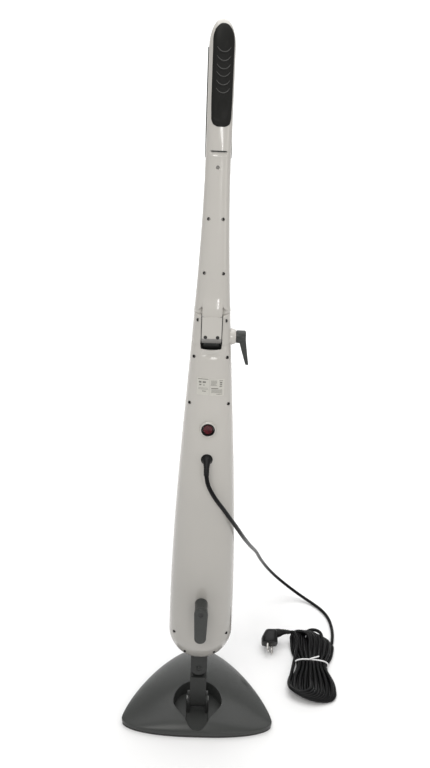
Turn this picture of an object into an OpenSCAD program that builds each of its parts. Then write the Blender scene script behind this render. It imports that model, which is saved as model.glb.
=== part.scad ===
/* [Overall] */
// Height of the whole mop, from the floor to the tip of the grip
total_h = 1200; // [1150:10:1250]
// Width of the housing at its widest place
belly_w = 113; // [106:1:116]
// Height of the widest place
belly_z = 205; // [200:1:210]
// Rear depth of the housing at its widest place, from the middle plane
belly_rear = 46; // [44:1:48]
// Front depth of the housing at its widest place, from the middle plane
belly_front = 52; // [50:1:56]

/* [Grip] */
// Width of the grip
grip_w = 36.6; // [34:0.2:38]
// Depth of the grip each side of the middle plane
grip_d = 17; // [16:0.5:18]
// Length of the rear grip pad
pad_len = 132; // [120:1:140]
// Width of the grip pads
pad_w = 29; // [26:1:30]
// How far the grip is turned about its own length
grip_turn = 9; // [0:1:12]

/* [Handle hinge] */
// Height of the folding axis
hinge_z = 755; // [750:1:760]
// Width of the tongue between the two cheeks
tongue_w = 32; // [30:1:33]
// Radius of the tongue's end about the folding axis
tongue_r = 28.5; // [27:0.5:29]
// Radius of the hinge bolt
bolt_r = 4; // [3:0.5:4.5]

/* [Neck] */
// Height of the tilt axle
tilt_z = 36; // [35:1:38]
// Height of the swivel pin
swivel_z = 119; // [117:1:121]
// Width of the neck
neck_w = 30; // [28:1:31]
// Radius of the tilt axle and of the swivel pin
axle_r = 4; // [3:0.5:5]

/* [Head] */
// Width of the head
head_w = 282; // [270:2:290]
// Reach of the head in front of its widest place
head_front = 194; // [180:2:200]
// Reach of the head behind its widest place
head_rear = 32; // [30:1:36]
// How far the widest place lies behind the neck
head_shift = 28; // [26:1:30]
// Height of the head's rim
head_rim = 12; // [11:0.5:13]
// Height of the dome above the rim
head_dome = 32; // [30:1:34]
// Radius of the turning pocket round the neck
pocket_r = 46; // [44:1:47]

/* [Wall and fits] */
// Wall of the housings
wall = 3; // [2.6:0.2:3.4]
// Radial clearance of pins that turn
run_gap = 0.05; // [0.03:0.01:0.1]
// Space between parts that move past each other
move_gap = 0.4; // [0.3:0.1:0.6]

/* [Power cord] */
// Diameter of the mains lead
cord_d = 7; // [6.5:0.5:7.5]
// Length of the hank
hank_len = 200; // [190:2:206]
// Width of the hank's lobes
hank_w = 98; // [92:1:100]
// Width of the hank's tied waist
waist_w = 66; // [60:1:70]
// Height of the hank as it lies
hank_h = 34; // [32:1:36]

/* [Hidden] */
$fn = 64;
white = "gainsboro";
dark = "dimgray";
black = "#1c1c1c";
steel = "silver";

// Housing: its half width and its depths swell from the grip down to the belly.
taper_top = 1020;              // where the swelling starts
bottom_round = 58;             // height of the rounded bottom
tip_round = 36;                // height of the rounded tip
housing_low = 148;             // cut-off round the neck
seam_z = 742;                  // top edge of the two lower shells
cheek_r = 42;                  // radius of the cheeks' tops about the folding axis
round_power = 2.5;             // power of the rounded section
arc_steps = 18;                // steps of a half section
slot_half = tongue_w/2 + move_gap;
scoop_r = tongue_r + 1;

function unit(u) = max(0, min(1, u));
function swell(z) = pow(sin(90*pow(unit((taper_top - z)/(taper_top - belly_z)), 0.85)), 2);
function low_round(z) = z < belly_z ? sqrt(max(0, 1 - pow((belly_z - z)/bottom_round, 2))) : 1;
function tip_start() = total_h - tip_round;
function tip_curve(z) =
  z > tip_start() ? sqrt(max(0, 1 - pow((z - tip_start())/tip_round, 2))) : 1;
function scale_z(z) = low_round(z)*tip_curve(z);
function half_w(z) = (grip_w/2 + (belly_w - grip_w)/2*swell(z))*scale_z(z);
function rear_d(z) = (grip_d + (belly_rear - grip_d)*swell(z))*scale_z(z);
function front_d(z) = (grip_d + (belly_front - grip_d)*swell(z))*scale_z(z);
function power_of(v) = sign(v)*pow(abs(v), 2/round_power);
// The grip's section turns between two heights
turn_low = 1030;
turn_high = 1060;
function turn_at(z) =
  let (u = unit((z - turn_low)/(turn_high - turn_low))) grip_turn*u*u*(3 - 2*u);
function turned(x, y, z) = [
  x*cos(turn_at(z)) - y*sin(turn_at(z)), x*sin(turn_at(z)) + y*cos(turn_at(z)), z];
function edge(z, a, inset) = turned(
  max(0.4, half_w(z) - inset)*power_of(cos(a)),
  max(0.4, (a > 180 ? rear_d(z) : front_d(z)) - inset)*power_of(sin(a)), z);
// Depth of the rear or front face of the housing at a sideways place x
function rear_at(x, z) = rear_d(z)*pow(1 - pow(abs(x)/half_w(z), round_power), 1/round_power);

function arc_section(z, first, last, inset, steps) =
  [for (k = [0:steps]) edge(z, first + (last - first)*k/steps, inset)];
// Half of a tube's section, from angle a to angle b: the outside there, the inside back
function band(z, a, b, out_in, in_in) = concat(
  arc_section(z, a, b, out_in, arc_steps), arc_section(z, b, a, in_in, arc_steps));
function whole_section(z, inset) =
  [for (k = [0:2*arc_steps - 1]) edge(z, 180*k/arc_steps, inset)];
function levels(low, high, count) = [for (k = [0:count]) low + (high - low)*k/count];

// Solid through rings of equal length, each ring counter-clockwise from above
module loft(rings) {
  n = len(rings[0]);
  m = len(rings);
  polyhedron(
    points = [for (ring = rings) for (p = ring) p],
    faces = concat(
      [[for (j = [0:n - 1]) j]],
      [[for (j = [n - 1:-1:0]) (m - 1)*n + j]],
      [for (i = [0:m - 2]) for (j = [0:n - 1])
        [i*n + j, (i + 1)*n + j, (i + 1)*n + (j + 1)%n]],
      [for (i = [0:m - 2]) for (j = [0:n - 1])
        [i*n + j, (i + 1)*n + (j + 1)%n, i*n + (j + 1)%n]]));
}

// The same for rings that are bands: the ends are closed by strips from outside to inside
module band_loft(rings) {
  n = len(rings[0]);
  h = n/2;
  m = len(rings);
  polyhedron(
    points = [for (ring = rings) for (p = ring) p],
    faces = concat(
      [for (j = [0:h - 2]) [j, j + 1, n - 2 - j, n - 1 - j]],
      [for (j = [0:h - 2]) [for (k = [n - 1 - j, n - 2 - j, j + 1, j]) (m - 1)*n + k]],
      [for (i = [0:m - 2]) for (j = [0:n - 1])
        [i*n + j, (i + 1)*n + j, (i + 1)*n + (j + 1)%n]],
      [for (i = [0:m - 2]) for (j = [0:n - 1])
        [i*n + j, (i + 1)*n + (j + 1)%n, i*n + (j + 1)%n]]));
}

// Cylinder along X or Y, centred
module x_rod(r, len, at = [0, 0, 0])
  translate(at) rotate([0, 90, 0]) cylinder(r = r, h = len, center = true);
module y_rod(r, len, at = [0, 0, 0])
  translate(at) rotate([90, 0, 0]) cylinder(r = r, h = len, center = true);
module block(size, at) translate(at) cube(size, center = true);

// Screws: sideways place, height
housing_screw_at = [for (s = [-1, 1]) each
  [[s*25.5, 727], [s*30.5, 651], [s*46, 216], [s*26, 176]]];
cheek_screw_at = [[-23, 785], [23, 785]];
handle_screw_at = concat([[0, 1008]], [for (s = [-1, 1]) each [[s*10.3, 936], [s*14, 857]]]);
tongue_screw_at = [[-9.3, 757], [9.3, 757]];
screw_head_r = 2.4;
screw_shank_r = 1.3;
screw_sink = 4.5;
boss_depth = 6;

function front_at(x, z) = front_d(z)*pow(1 - pow(abs(x)/half_w(z), round_power), 1/round_power);
module screw(len) rotate([90, 0, 0]) {
  cylinder(r = screw_head_r, h = 2);
  translate([0, 0, -len]) cylinder(r = screw_shank_r, h = len + 1);
}
module rear_screws(list, len)
  for (s = list) translate([s[0], -rear_at(s[0], s[1]) + screw_sink, s[1]]) screw(len);
// Bosses under the screw heads, on the rear shell
module bosses(list)
  for (s = list)
    y_rod(screw_head_r + 2, boss_depth, [s[0], -rear_at(s[0], s[1]) + boss_depth/2, s[1]]);
// Room for heads and shanks
module screw_wells(list)
  for (s = list) {
    y_rod(screw_head_r + 0.2, 2*screw_sink, [s[0], -rear_at(s[0], s[1]), s[1]]);
    y_rod(screw_shank_r + 0.1, 2*boss_depth + 18, [s[0], -rear_at(s[0], s[1]), s[1]]);
  }
// Posts from the front shell to the bosses, and the threads in them
module posts(list)
  for (s = list) let (rear = -rear_at(s[0], s[1]) + boss_depth + 0.1)
    translate([s[0], rear, s[1]]) rotate([-90, 0, 0])
      cylinder(r = 3.4, h = front_at(s[0], s[1]) - rear);
module threads(list)
  for (s = list)
    y_rod(screw_shank_r, 12, [s[0], -rear_at(s[0], s[1]) + boss_depth + 5.5, s[1]]);

// Head: an iron-shaped outline, one curve for the front and one for the rear.
dome_y = 40;                   // place of the dome's top
outline_steps = 17;
function front_edge(v) = [
  head_w/2*pow(max(0, 1 - pow(v, 1.35)), 0.65), head_front*v - head_shift];
function rear_edge(u) = [
  head_w/2*u, -head_shift - head_rear*sqrt(max(0, 1 - pow(abs(u), 2.4)))];
function head_outline() = concat(
  [for (k = [0:outline_steps - 1]) front_edge(pow(sin(90*k/outline_steps), 2))],
  [for (k = [outline_steps:-1:1]) let (p = front_edge(pow(sin(90*k/outline_steps), 2))) [-p[0], p[1]]],
  [for (k = [-outline_steps:outline_steps - 1]) rear_edge(sin(90*k/outline_steps))]);
function dome_h(s) = head_rim + head_dome*pow(1 - s*s, 0.8);
function head_ring(s, z, inset) = [for (p = head_outline())
  let (v = p - [0, dome_y], l = norm(v)) concat([0, dome_y] + v*(s*(l - inset)/l), [z])];
dome_scales = [0.982, 0.93, 0.84, 0.71, 0.54, 0.33, 0.12];
cover_low = 4;

module dome(inset, low, drop)
  loft(concat(
    [head_ring(1, low, inset), head_ring(1, head_rim - drop, inset)],
    [for (s = dome_scales) head_ring(s, dome_h(s) - drop, inset)]));

pocket_y = -8;
pocket_floor = 16;
channel_half = 20.5;
channel_floor = 9;

module pocket_shape(grow) {
  translate([0, pocket_y, pocket_floor - grow]) cylinder(r = pocket_r + grow, h = 60);
  block([2*(channel_half + grow), 104 + 2*grow, 60], [0, -28, channel_floor - grow + 30]);
}
module head_cover() color(dark)
  difference() {
    dome(0, cover_low, 0);
    difference() {
      dome(wall, cover_low - 1, wall);
      pocket_shape(wall);
      head_screw_places() translate([0, 0, 5.7]) cylinder(r = 4, h = 50);
    }
    pocket_shape(0);
    head_screw_places() translate([0, 0, cover_low - 1]) cylinder(r = screw_shank_r + 0.1, h = 7);
  }
module sole_outline(inset) {
  polygon([for (p = head_ring(1, 0, inset)) [p[0], p[1]]]);
}
module sole_plate() color(black)
  difference() {
    union() {
      linear_extrude(cover_low) sole_outline(1);
      translate([0, 0, cover_low]) linear_extrude(1.6) sole_outline(wall + 0.4);
    }
    for (x = [-96:24:96]) for (y = [24, 54])
      if (abs(x) < 110 - y) translate([x, y, -1]) cylinder(r = 1.6, h = 9);
    strip_places() block([58, 16, 2.4], [0, 0, 0]);
    head_screw_places() translate([0, 0, -1]) cylinder(r = screw_head_r + 0.3, h = 4);
    head_screw_places() translate([0, 0, -1]) cylinder(r = screw_shank_r + 0.1, h = 9);
  }
module strip_places() {
  for (s = [-1, 1]) translate([s*78, -18, 0]) children();
  translate([0, 108, 0]) children();
}
module head_screw_places()
  for (p = [[-112, -8], [112, -8], [-62, 96], [62, 96], [-60, -36], [60, -36]])
    translate([p[0], p[1], 0]) children();
module grip_strips() color(dark)
  strip_places() translate([0, 0, 0.7]) cube([57.4, 15.4, 0.9], center = true);
module sole_seal() color(black)
  translate([0, 0, cover_low + 1.6]) linear_extrude(1.4)
    difference() {
      sole_outline(wall + 0.6);
      sole_outline(wall + 4.6);
      head_screw_places() circle(r = 3.4);
      translate([0, -50]) square([2*(channel_half + wall) + 1, 60], center = true);
    }
module steam_chamber() color(steel)
  difference() {
    block([150, 46, 9], [0, 66, 10.2]);
    block([144, 40, 7], [0, 66, 8.2]);
  }
module head_screws() color(steel)
  head_screw_places() {
    translate([0, 0, 0.5]) cylinder(r = screw_head_r, h = 2.4);
    cylinder(r = screw_shank_r, h = 9.6);
  }

// Neck: fork on the head, knuckle that tilts, socket that swivels
fork_gap = neck_w/2 + 0.5;
fork_wall = 4;
module neck_fork() color(black)
  difference() {
    union() {
      block([2*channel_half - 0.8, 44, 3], [0, -2, channel_floor + 1.6]);
      for (s = [-1, 1]) {
        x_rod(14, fork_wall, [s*(fork_gap + fork_wall/2), 0, tilt_z]);
        block([fork_wall, 28, tilt_z - channel_floor - 2],
              [s*(fork_gap + fork_wall/2), 0, (tilt_z + channel_floor + 2)/2]);
      }
    }
    x_rod(axle_r + run_gap, 100, [0, 0, tilt_z]);
  }
module tilt_axle() color(steel)
  union() {
    x_rod(axle_r, 2*(fork_gap + fork_wall), [0, 0, tilt_z]);
    for (s = [-1, 1]) x_rod(axle_r + 1, 0.8, [s*(fork_gap + fork_wall + 0.45), 0, tilt_z]);
  }
lug_r = 14;
lug_d = 14;
module neck_knuckle() color(dark)
  difference() {
    union() {
      x_rod(lug_r, neck_w, [0, 0, tilt_z]);
      block([neck_w, 2*lug_r, 62], [0, 0, tilt_z + 31]);
      y_rod(lug_r, lug_d, [0, 0, swivel_z]);
      block([2*lug_r - 8, lug_d, 22], [0, 0, swivel_z - 11]);
    }
    x_rod(axle_r + run_gap, 60, [0, 0, tilt_z]);
    y_rod(axle_r + run_gap, 60, [0, 0, swivel_z]);
    translate([0, 0, 60]) cylinder(r = 4, h = 30);
  }
ear_y = lug_d/2 + move_gap;
ear_d = 6;
module neck_socket() color(dark)
  difference() {
    union() {
      for (s = [-1, 1]) {
        y_rod(neck_w/2, ear_d, [0, s*(ear_y + ear_d/2), swivel_z]);
        block([neck_w, ear_d, 30], [0, s*(ear_y + ear_d/2), swivel_z + 15]);
      }
      block([neck_w, 2*(ear_y + ear_d), 22], [0, 0, swivel_z + lug_r + 13]);
      loft([for (z = [153, 156, 160]) whole_section(z, wall + 0.7)]);
    }
    y_rod(axle_r + run_gap, 60, [0, 0, swivel_z]);
    translate([0, 0, swivel_z + lug_r + 1]) cylinder(r = 5.2, h = 40);
  }
module swivel_pin() color(steel)
  union() {
    y_rod(axle_r, 2*(ear_y + ear_d), [0, 0, swivel_z]);
    difference() {
      translate([0, -ear_y - ear_d + 2.6, swivel_z]) sphere(r = 6);
      block([20, 20, 20], [0, -ear_y - ear_d + 10, swivel_z]);
    }
    y_rod(5, 1.4, [0, ear_y + ear_d + 0.7, swivel_z]);
  }

// Lower housing: two shells that meet on the middle plane
switch_z = 612;
gland_z = 558;
hook_z = 287;
filler_z = 640;
window_z = [470, 590];
neck_hole = [neck_w + 0.4, 2*(ear_y + ear_d) + 0.4, 20];
module in_shell(list, inset) intersection() {
  children();
  loft([for (z = list) whole_section(z, inset)]);
}
// Posts stay clear of the rear shell and reach into the front shell's wall
module fitted_posts(list, places) {
  in_shell(list, wall + 0.15) posts(places);
  intersection() {
    in_shell(list, 1) posts(places);
    block([200, 80, 2400], [0, 43, 0]);
  }
}
module rear_housing() color(white)
  difference() {
    union() {
      band_loft([for (z = housing_levels()) band(z, 180, 360, 0, wall)]);
      in_shell(housing_levels(), 1) bosses(housing_screw_at);
    }
    block([2*slot_half, 60, 60], [0, -50, hinge_z - scoop_r + 30]);
    block(neck_hole, [0, 0, housing_low]);
    y_rod(11.2, 60, [0, -40, switch_z]);
    y_rod(6.9, 60, [0, -40, gland_z]);
    y_rod(2.6, 60, [0, -40, hook_z]);
    screw_wells(housing_screw_at);
  }
function housing_levels() = concat(
  [housing_low, 150, 154, 160, 168, 178, 191], levels(belly_z, seam_z, 12));
module front_housing() color(white)
  difference() {
    union() {
      band_loft([for (z = housing_levels()) band(z, 0, 180, 0, wall)]);
      fitted_posts(housing_levels(), housing_screw_at);
    }
    block([2*slot_half, 60, 60], [0, 52, hinge_z - scoop_r + 30]);
    block(neck_hole, [0, 0, housing_low]);
    y_rod(17.2, 70, [0, 52, filler_z]);
    block([14, 60, window_z[1] - window_z[0] + 0.4], [0, 60, (window_z[0] + window_z[1])/2]);
    threads(housing_screw_at);
  }
module housing_screws() color(steel) {
  rear_screws(housing_screw_at, 12);
  rear_screws(cheek_screw_at, 12);
}

// Hinge fork: two cheeks, a curved floor under the tongue and a spigot in the shells
module hinge_fork() color(white)
  difference() {
    union() {
      loft([for (z = [716, 729, seam_z]) whole_section(z, wall + 0.2)]);
      intersection() {
        loft([for (z = levels(seam_z, 800, 5)) whole_section(z, 0)]);
        x_rod(cheek_r, 120, [0, 0, hinge_z]);
      }
    }
    x_rod(scoop_r, 2*slot_half, [0, 0, hinge_z]);
    block([2*slot_half, 120, 80], [0, 0, hinge_z + 40]);
    block([2*slot_half, 60, 2*scoop_r], [0, -30, hinge_z]);
    block([2*slot_half, 60, 2*scoop_r], [0, 30, hinge_z]);
    x_rod(bolt_r + run_gap, 120, [0, 0, hinge_z]);
    screw_wells(cheek_screw_at);
    threads(cheek_screw_at);
    for (s = [-1, 1]) y_rod(4.6, 100, [s*25.5, 0, 727]);
    block([2*slot_half - 8, 40, 20], [0, 0, 716]);
  }
lever_x = 38;
module lever_boss() color(white)
  difference() {
    translate([half_w(hinge_z) - 0.4, 0, hinge_z]) rotate([0, 90, 0])
      cylinder(r1 = 13, r2 = 10.4, h = lever_x - half_w(hinge_z));
    x_rod(bolt_r + run_gap, 120, [0, 0, hinge_z]);
    loft([for (z = [hinge_z - 20, hinge_z, hinge_z + 20]) whole_section(z, -0.02)]);
  }
module hinge_bolt() color(steel)
  union() {
    translate([-30, 0, hinge_z]) rotate([0, 90, 0]) cylinder(r = bolt_r, h = 30 + lever_x + 9);
  }
module clamp_lever() color(dark)
  difference() {
    union() {
      translate([lever_x + 0.3, 0, hinge_z]) rotate([0, 90, 0]) cylinder(r = 10, h = 15.4);
      hull() {
        translate([lever_x + 8, 0, hinge_z - 8]) rotate([0, 90, 0]) cylinder(r = 8, h = 8, $fn = 32);
        translate([lever_x + 17.5, 0, hinge_z - 40]) rotate([0, 90, 0]) cylinder(r = 4.5, h = 4, $fn = 32);
      }
    }
    translate([lever_x, 0, hinge_z]) rotate([0, 90, 0]) cylinder(r = bolt_r + run_gap, h = 9.6);
  }

// Controls and small parts on the rear
function rear_face(z) = -rear_d(z);
module rating_label() color("beige")
  for (b = [[-10.3, 686, 19, 28], [11.5, 684.5, 23, 27]])
    intersection() {
      band_loft([for (z = [666, 704]) band(z, 190, 350, -0.35, -0.1)]);
      block([b[2], 60, b[3]], [b[0], -40, b[1]]);
    }
module switch_bezel() color(white)
  difference() {
    union() {
      y_rod(12.8, 3.4, [0, rear_face(switch_z) - 0.9, switch_z]);
      y_rod(11, 12, [0, rear_face(switch_z) + 4, switch_z]);
    }
    y_rod(9.6, 30, [0, rear_face(switch_z), switch_z]);
  }
module switch_body() color(black)
  difference() {
    y_rod(9.4, 16, [0, rear_face(switch_z) + 8.5, switch_z]);
    block([12.6, 12, 13.6], [0, rear_face(switch_z) + 4, switch_z]);
    x_rod(1.55, 15, [0, rear_face(switch_z) + rocker_in, switch_z]);
  }
rocker_in = 3.5;
// Rocker: a shallow V on two short pins
module power_rocker() color("firebrick")
  translate([0, rear_face(switch_z), switch_z]) {
    rotate([90, 0, 90]) linear_extrude(12, center = true)
      polygon([[-1.6, 6], [0.2, 0], [-0.4, -6], [2.4, -6.1], [7, -3], [7, 3], [1.4, 6.1]]);
    x_rod(1.5, 14.6, [0, rocker_in, 0]);
  }
sleeve_tip = [0, -57, 541];
module cord_gland() color(black)
  union() {
    y_rod(6.8, 10, [0, rear_face(gland_z) + 1.5, gland_z]);
    y_rod(9, 2.4, [0, rear_face(gland_z) + 5.3, gland_z]);
    translate([0, rear_face(gland_z) - 2.5, gland_z]) sphere(r = 7.2);
    swept([[0, rear_face(gland_z) - 3, gland_z - 1], [0, -52, 551], sleeve_tip], [6, 5, 4.2], 24);
  }

// Cord hook: a round post out of the housing with a finger that turns on its screw
hook_face = -77;
module cord_hook() color(dark)
  difference() {
    union() {
      translate([0, hook_face, hook_z]) rotate([-90, 0, 0])
        cylinder(r = 11.8, h = -hook_face + rear_face(hook_z) - 0.3);
      hull() {
        translate([0, hook_face, hook_z]) rotate([-90, 0, 0]) cylinder(r = 11.8, h = 8, $fn = 32);
        translate([0, hook_face, hook_z - 52]) rotate([-90, 0, 0]) cylinder(r = 10.2, h = 7, $fn = 32);
      }
    }
    y_rod(2.2 + run_gap, 120, [0, -50, hook_z]);
    y_rod(4.4, 8, [0, hook_face, hook_z]);
  }
module hook_screw() color(steel)
  union() {
    y_rod(3.9, 2.4, [0, hook_face + 2.7, hook_z]);
    translate([0, hook_face + 3, hook_z]) rotate([-90, 0, 0])
      cylinder(r = 2.2, h = -hook_face + rear_face(hook_z) + 12);
  }

// Power train inside: tank, pump, boiler and what joins them
tank_low = 420;
tank_high = 690;
module water_tank() color("lightsteelblue")
  difference() {
    loft([for (z = levels(tank_low, tank_high, 6)) tank_ring(z, 0)]);
    loft([for (z = levels(tank_low + 2, tank_high - 2, 6)) tank_ring(z, 2)]);
    y_rod(10.1, 60, [0, 40, filler_z]);
  }
function tank_ring(z, inset) = [for (k = [0:23])
  let (a = 15*k)
  [(half_w(z) - 15 - inset)*power_of(cos(a)), 8 + (front_d(z) - 13.5 - inset)*power_of(sin(a))*0.92, z]];
module filler_neck() color(white)
  difference() {
    translate([0, 26, filler_z]) rotate([-90, 0, 0]) cylinder(r = 10, h = front_d(filler_z) - 26 + 1);
    translate([0, 20, filler_z]) rotate([-90, 0, 0]) cylinder(r = 8, h = 40);
  }
module filler_cap() color(dark)
  difference() {
    union() {
      translate([0, front_d(filler_z) - 3.4, filler_z]) rotate([-90, 0, 0]) cylinder(r = 16.8, h = 9);
      translate([0, front_d(filler_z) - 12, filler_z]) rotate([-90, 0, 0]) cylinder(r = 7.6, h = 10);
      block([26, 8, 5], [0, front_d(filler_z) + 7, filler_z]);
    }
    difference() {
      translate([0, front_d(filler_z) - 4, filler_z]) rotate([-90, 0, 0]) cylinder(r = 14.6, h = 5.6);
      translate([0, front_d(filler_z) - 13, filler_z]) rotate([-90, 0, 0]) cylinder(r = 7.6, h = 20);
    }
  }
module level_window() color("lightblue")
  intersection() {
    band_loft([for (z = [466, 500, 545, 594]) band(z, 30, 150, 0.3, wall)]);
    block([13.6, 60, window_z[1] - window_z[0]], [0, 60, (window_z[0] + window_z[1])/2]);
  }
module water_pump() color(steel)
  union() {
    translate([0, 4, 332]) cylinder(r = 16, h = 46);
    translate([0, 4, 378]) cylinder(r = 6, h = 12);
    translate([0, 4, 322]) cylinder(r = 6, h = 10);
  }
module boiler() color(steel)
  union() {
    translate([0, 2, 205]) cylinder(r = 27, h = 84);
    translate([0, 2, 289]) cylinder(r = 6, h = 12);
    for (z = [214:12:280]) translate([0, 2, z]) cylinder(r = 29, h = 3);
  }
module thermostat() color(black)
  translate([0, -27.2, 262]) rotate([90, 0, 0]) cylinder(r = 8, h = 7);
module thermal_fuse() color(white)
  translate([0, -27.2, 236]) block([20, 5, 7], [0, -2.6, 0]);
module water_hoses() color("white") {
  swept([[0, 4, 390.1], [0, 4, 394], [0, 6, 404], [0, 8, 414], [0, 8, 419.8]], [4, 4, 4, 4, 4], 12);
  swept([[0, 4, 321.9], [0, 4, 318], [0, 3, 311], [0, 2, 305], [0, 2, 301.1]], [4, 4, 4, 4, 4], 12);
}
module steam_pipe() color("tan")
  difference() {
    translate([0, 0, 154.5]) cylinder(r = 5, h = 50.4);
    translate([0, 0, 150]) cylinder(r = 3.4, h = 60);
  }
module terminal_block() color("ivory")
  block([30, 9, 16], [0, -28, 530]);

// Upper handle: a tongue that turns in the cheeks, two shells and two grip pads
module handle_tongue() color(white)
  difference() {
    union() {
      x_rod(tongue_r, tongue_w, [0, 0, hinge_z]);
      intersection() {
        block([tongue_w, 2*tongue_r - 4, 50], [0, 0, hinge_z + 25]);
        x_rod(cheek_r - 0.2, 60, [0, 0, hinge_z]);
      }
      block([tongue_w - 2, 30, 60], [0, 0, hinge_z + 30]);
      loft([for (z = [802, 835]) whole_section(z, wall + 0.4)]);
    }
    x_rod(bolt_r + run_gap, 60, [0, 0, hinge_z]);
    block([tongue_w + 1, 12, 42], [0, -tongue_r - 1.4, hinge_z + 21]);
    for (s = tongue_screw_at) y_rod(screw_shank_r + 0.02, 20, [s[0], -18, s[1] + 2]);
  }
module tongue_cover() color(white)
  difference() {
    intersection() {
      block([tongue_w, 3, 40], [0, -25.45, hinge_z + 20.2]);
      x_rod(cheek_r - 0.4, 80, [0, 0, hinge_z]);
    }
    for (s = tongue_screw_at) {
      y_rod(screw_shank_r + 0.1, 40, [s[0], -24, s[1] + 2]);
      y_rod(screw_head_r + 0.2, 4.4, [s[0], -28, s[1] + 2]);
    }
  }
module tongue_screws() color(steel)
  for (s = tongue_screw_at)
    translate([s[0], -25.8, s[1] + 2]) screw(10);

function grip_levels() = concat([turn_high, 1095, 1130, tip_start()],
  [for (k = [1:5]) total_h - tip_round*(1 - sin(90*k/5.3))]);
function handle_levels() = concat(
  levels(hinge_z + 12, 900, 5), [945, 990, turn_low, 1037, 1045, 1053], grip_levels());
module seam_relief() {
  x_rod(cheek_r + move_gap, 140, [0, 0, hinge_z]);
  block([140, 140, 30], [0, 0, hinge_z + 5]);
}
module handle_rear() color(white)
  difference() {
    union() {
      band_loft([for (z = handle_levels()) band(z, 180, 360, 0, wall)]);
      in_shell(handle_levels(), 1) bosses(handle_screw_at);
    }
    seam_relief();
    block([25, 6, 5.4], [0, rear_face(1027) - 1, 1027]);
    pad_space(0.1);
    screw_wells(handle_screw_at);
  }
module handle_front() color(white)
  difference() {
    union() {
      band_loft([for (z = handle_levels()) band(z, 0, 180, 0, wall)]);
      fitted_posts(handle_levels(), handle_screw_at);
    }
    seam_relief();
    threads(handle_screw_at);
  }
module handle_screws() color(steel) rear_screws(handle_screw_at, 12);
pad_top = total_h - 6;
pad_mid = pad_top - pad_len/2;
// The rear pad fills a long rounded window in the shell
module pad_space(grow)
  rotate([0, 0, grip_turn]) translate([0, -4, 0]) rotate([90, 0, 0]) linear_extrude(52) {
    translate([0, pad_top - pad_w/2]) circle(r = pad_w/2 + grow);
    translate([0, pad_top - pad_len + pad_w/2]) circle(r = pad_w/2 + grow);
    translate([0, pad_mid]) square([pad_w + 2*grow, pad_len - pad_w], center = true);
  }
module rear_grip_pad() color(black)
  intersection() {
    band_loft([for (z = grip_levels()) band(z, 180, 360, -0.8, wall)]);
    pad_space(0);
  }
// The front pad is a soft skin over the front shell
module front_grip_pad() color(black)
  band_loft([for (z = [1020, turn_low, 1037, 1045, 1053, turn_high, 1095, 1130, tip_start()])
    band(z, 3, 177, -0.9, -0.1)]);

// Tube swept along points: each ring stands square to the run of the points beside it
function run_at(p, i) =
  let (a = p[max(0, i - 1)], b = p[min(len(p) - 1, i + 1)]) (b - a)/norm(b - a);
function side_of(t) =
  let (s = cross(t, abs(t[2]) > 0.9 ? [0, 1, 0] : [0, 0, 1])) s/norm(s);
module swept(points, radii, sides) {
  rings = [for (i = [0:len(points) - 1])
    let (t = run_at(points, i), u = side_of(t), v = cross(t, u))
    [for (k = [0:sides - 1])
      points[i] + radii[i]*(cos(360*k/sides)*u + sin(360*k/sides)*v)]];
  loft(rings);
}
// Smooth curve through the route's points, with some steps between each two
function smooth(p, steps) = concat(
  [for (i = [0:len(p) - 2]) for (k = [0:steps - 1])
    let (a = p[max(0, i - 1)], b = p[i], c = p[i + 1], d = p[min(len(p) - 1, i + 2)], u = k/steps)
    0.5*(2*b + (c - a)*u + (2*a - 5*b + 4*c - d)*u*u + (3*b - a - 3*c + d)*u*u*u)],
  [p[len(p) - 1]]);
lead_route = [
  sleeve_tip, [3, -60, 527], [9, -62, 514], [18, -60, 498], [30, -53, 478], [43, -43, 454],
  [55, -26, 428], [67, 2, 395], [77, 40, 361], [88, 88, 321], [100, 142, 278], [112, 200, 232],
  [124, 254, 184], [138, 302, 138], [156, 338, 96], [178, 358, 62], [202, 363, 38], [226, 359, 21],
  [248, 350, 10], [268, 335, 5], [284, 314, 4], [294, 288, 4], [297, 260, 4], [295, 236, 5],
  [290, 214, 7], [282, 199, 9]
];
tail_route = [[206, 203, 28], [201, 203, 28], [194, 203, 28]];
module power_cord() color(black) {
  lead = smooth(lead_route, 2);
  swept(lead, [for (p = lead) cord_d/2], 10);
  swept(tail_route, [for (p = tail_route) cord_d/2], 10);
}
hank_at = [235, 128];
hank_turn = -6;
module hank_frame() translate([hank_at[0], hank_at[1], 0]) rotate([0, 0, hank_turn]) children();
module cord_hank() color(black)
  hank_frame() linear_extrude(hank_h) {
    for (s = [-1, 1]) translate([0, s*(hank_len - hank_w)/2]) circle(r = hank_w/2);
    square([waist_w, hank_len - hank_w], center = true);
  }
module cord_tie() color("white")
  hank_frame() difference() {
    block([waist_w + 3.4, 3.4, hank_h + 1.5], [0, 0, (hank_h + 1.5)/2]);
    block([waist_w + 0.02, 8, hank_h], [0, 0, hank_h/2 - 0.01]);
  }
plug_at = [151, 187, 18.5];
pin_roll = 45;
module power_plug() color(black)
  union() {
    y_rod(18.3, 24, plug_at);
    swept([plug_at + [8, 6, 9.5], plug_at + [19, 14, 9.5], plug_at + [43, 16, 9.5]], [7, 6.5, 4.4], 16);
  }
module plug_pins() color(steel)
  for (s = [-1, 1])
    translate(plug_at + [s*9.5*sin(pin_roll), -12, -s*9.5*cos(pin_roll)])
      rotate([90, 0, 0]) cylinder(r = 2.2, h = 19);

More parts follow.
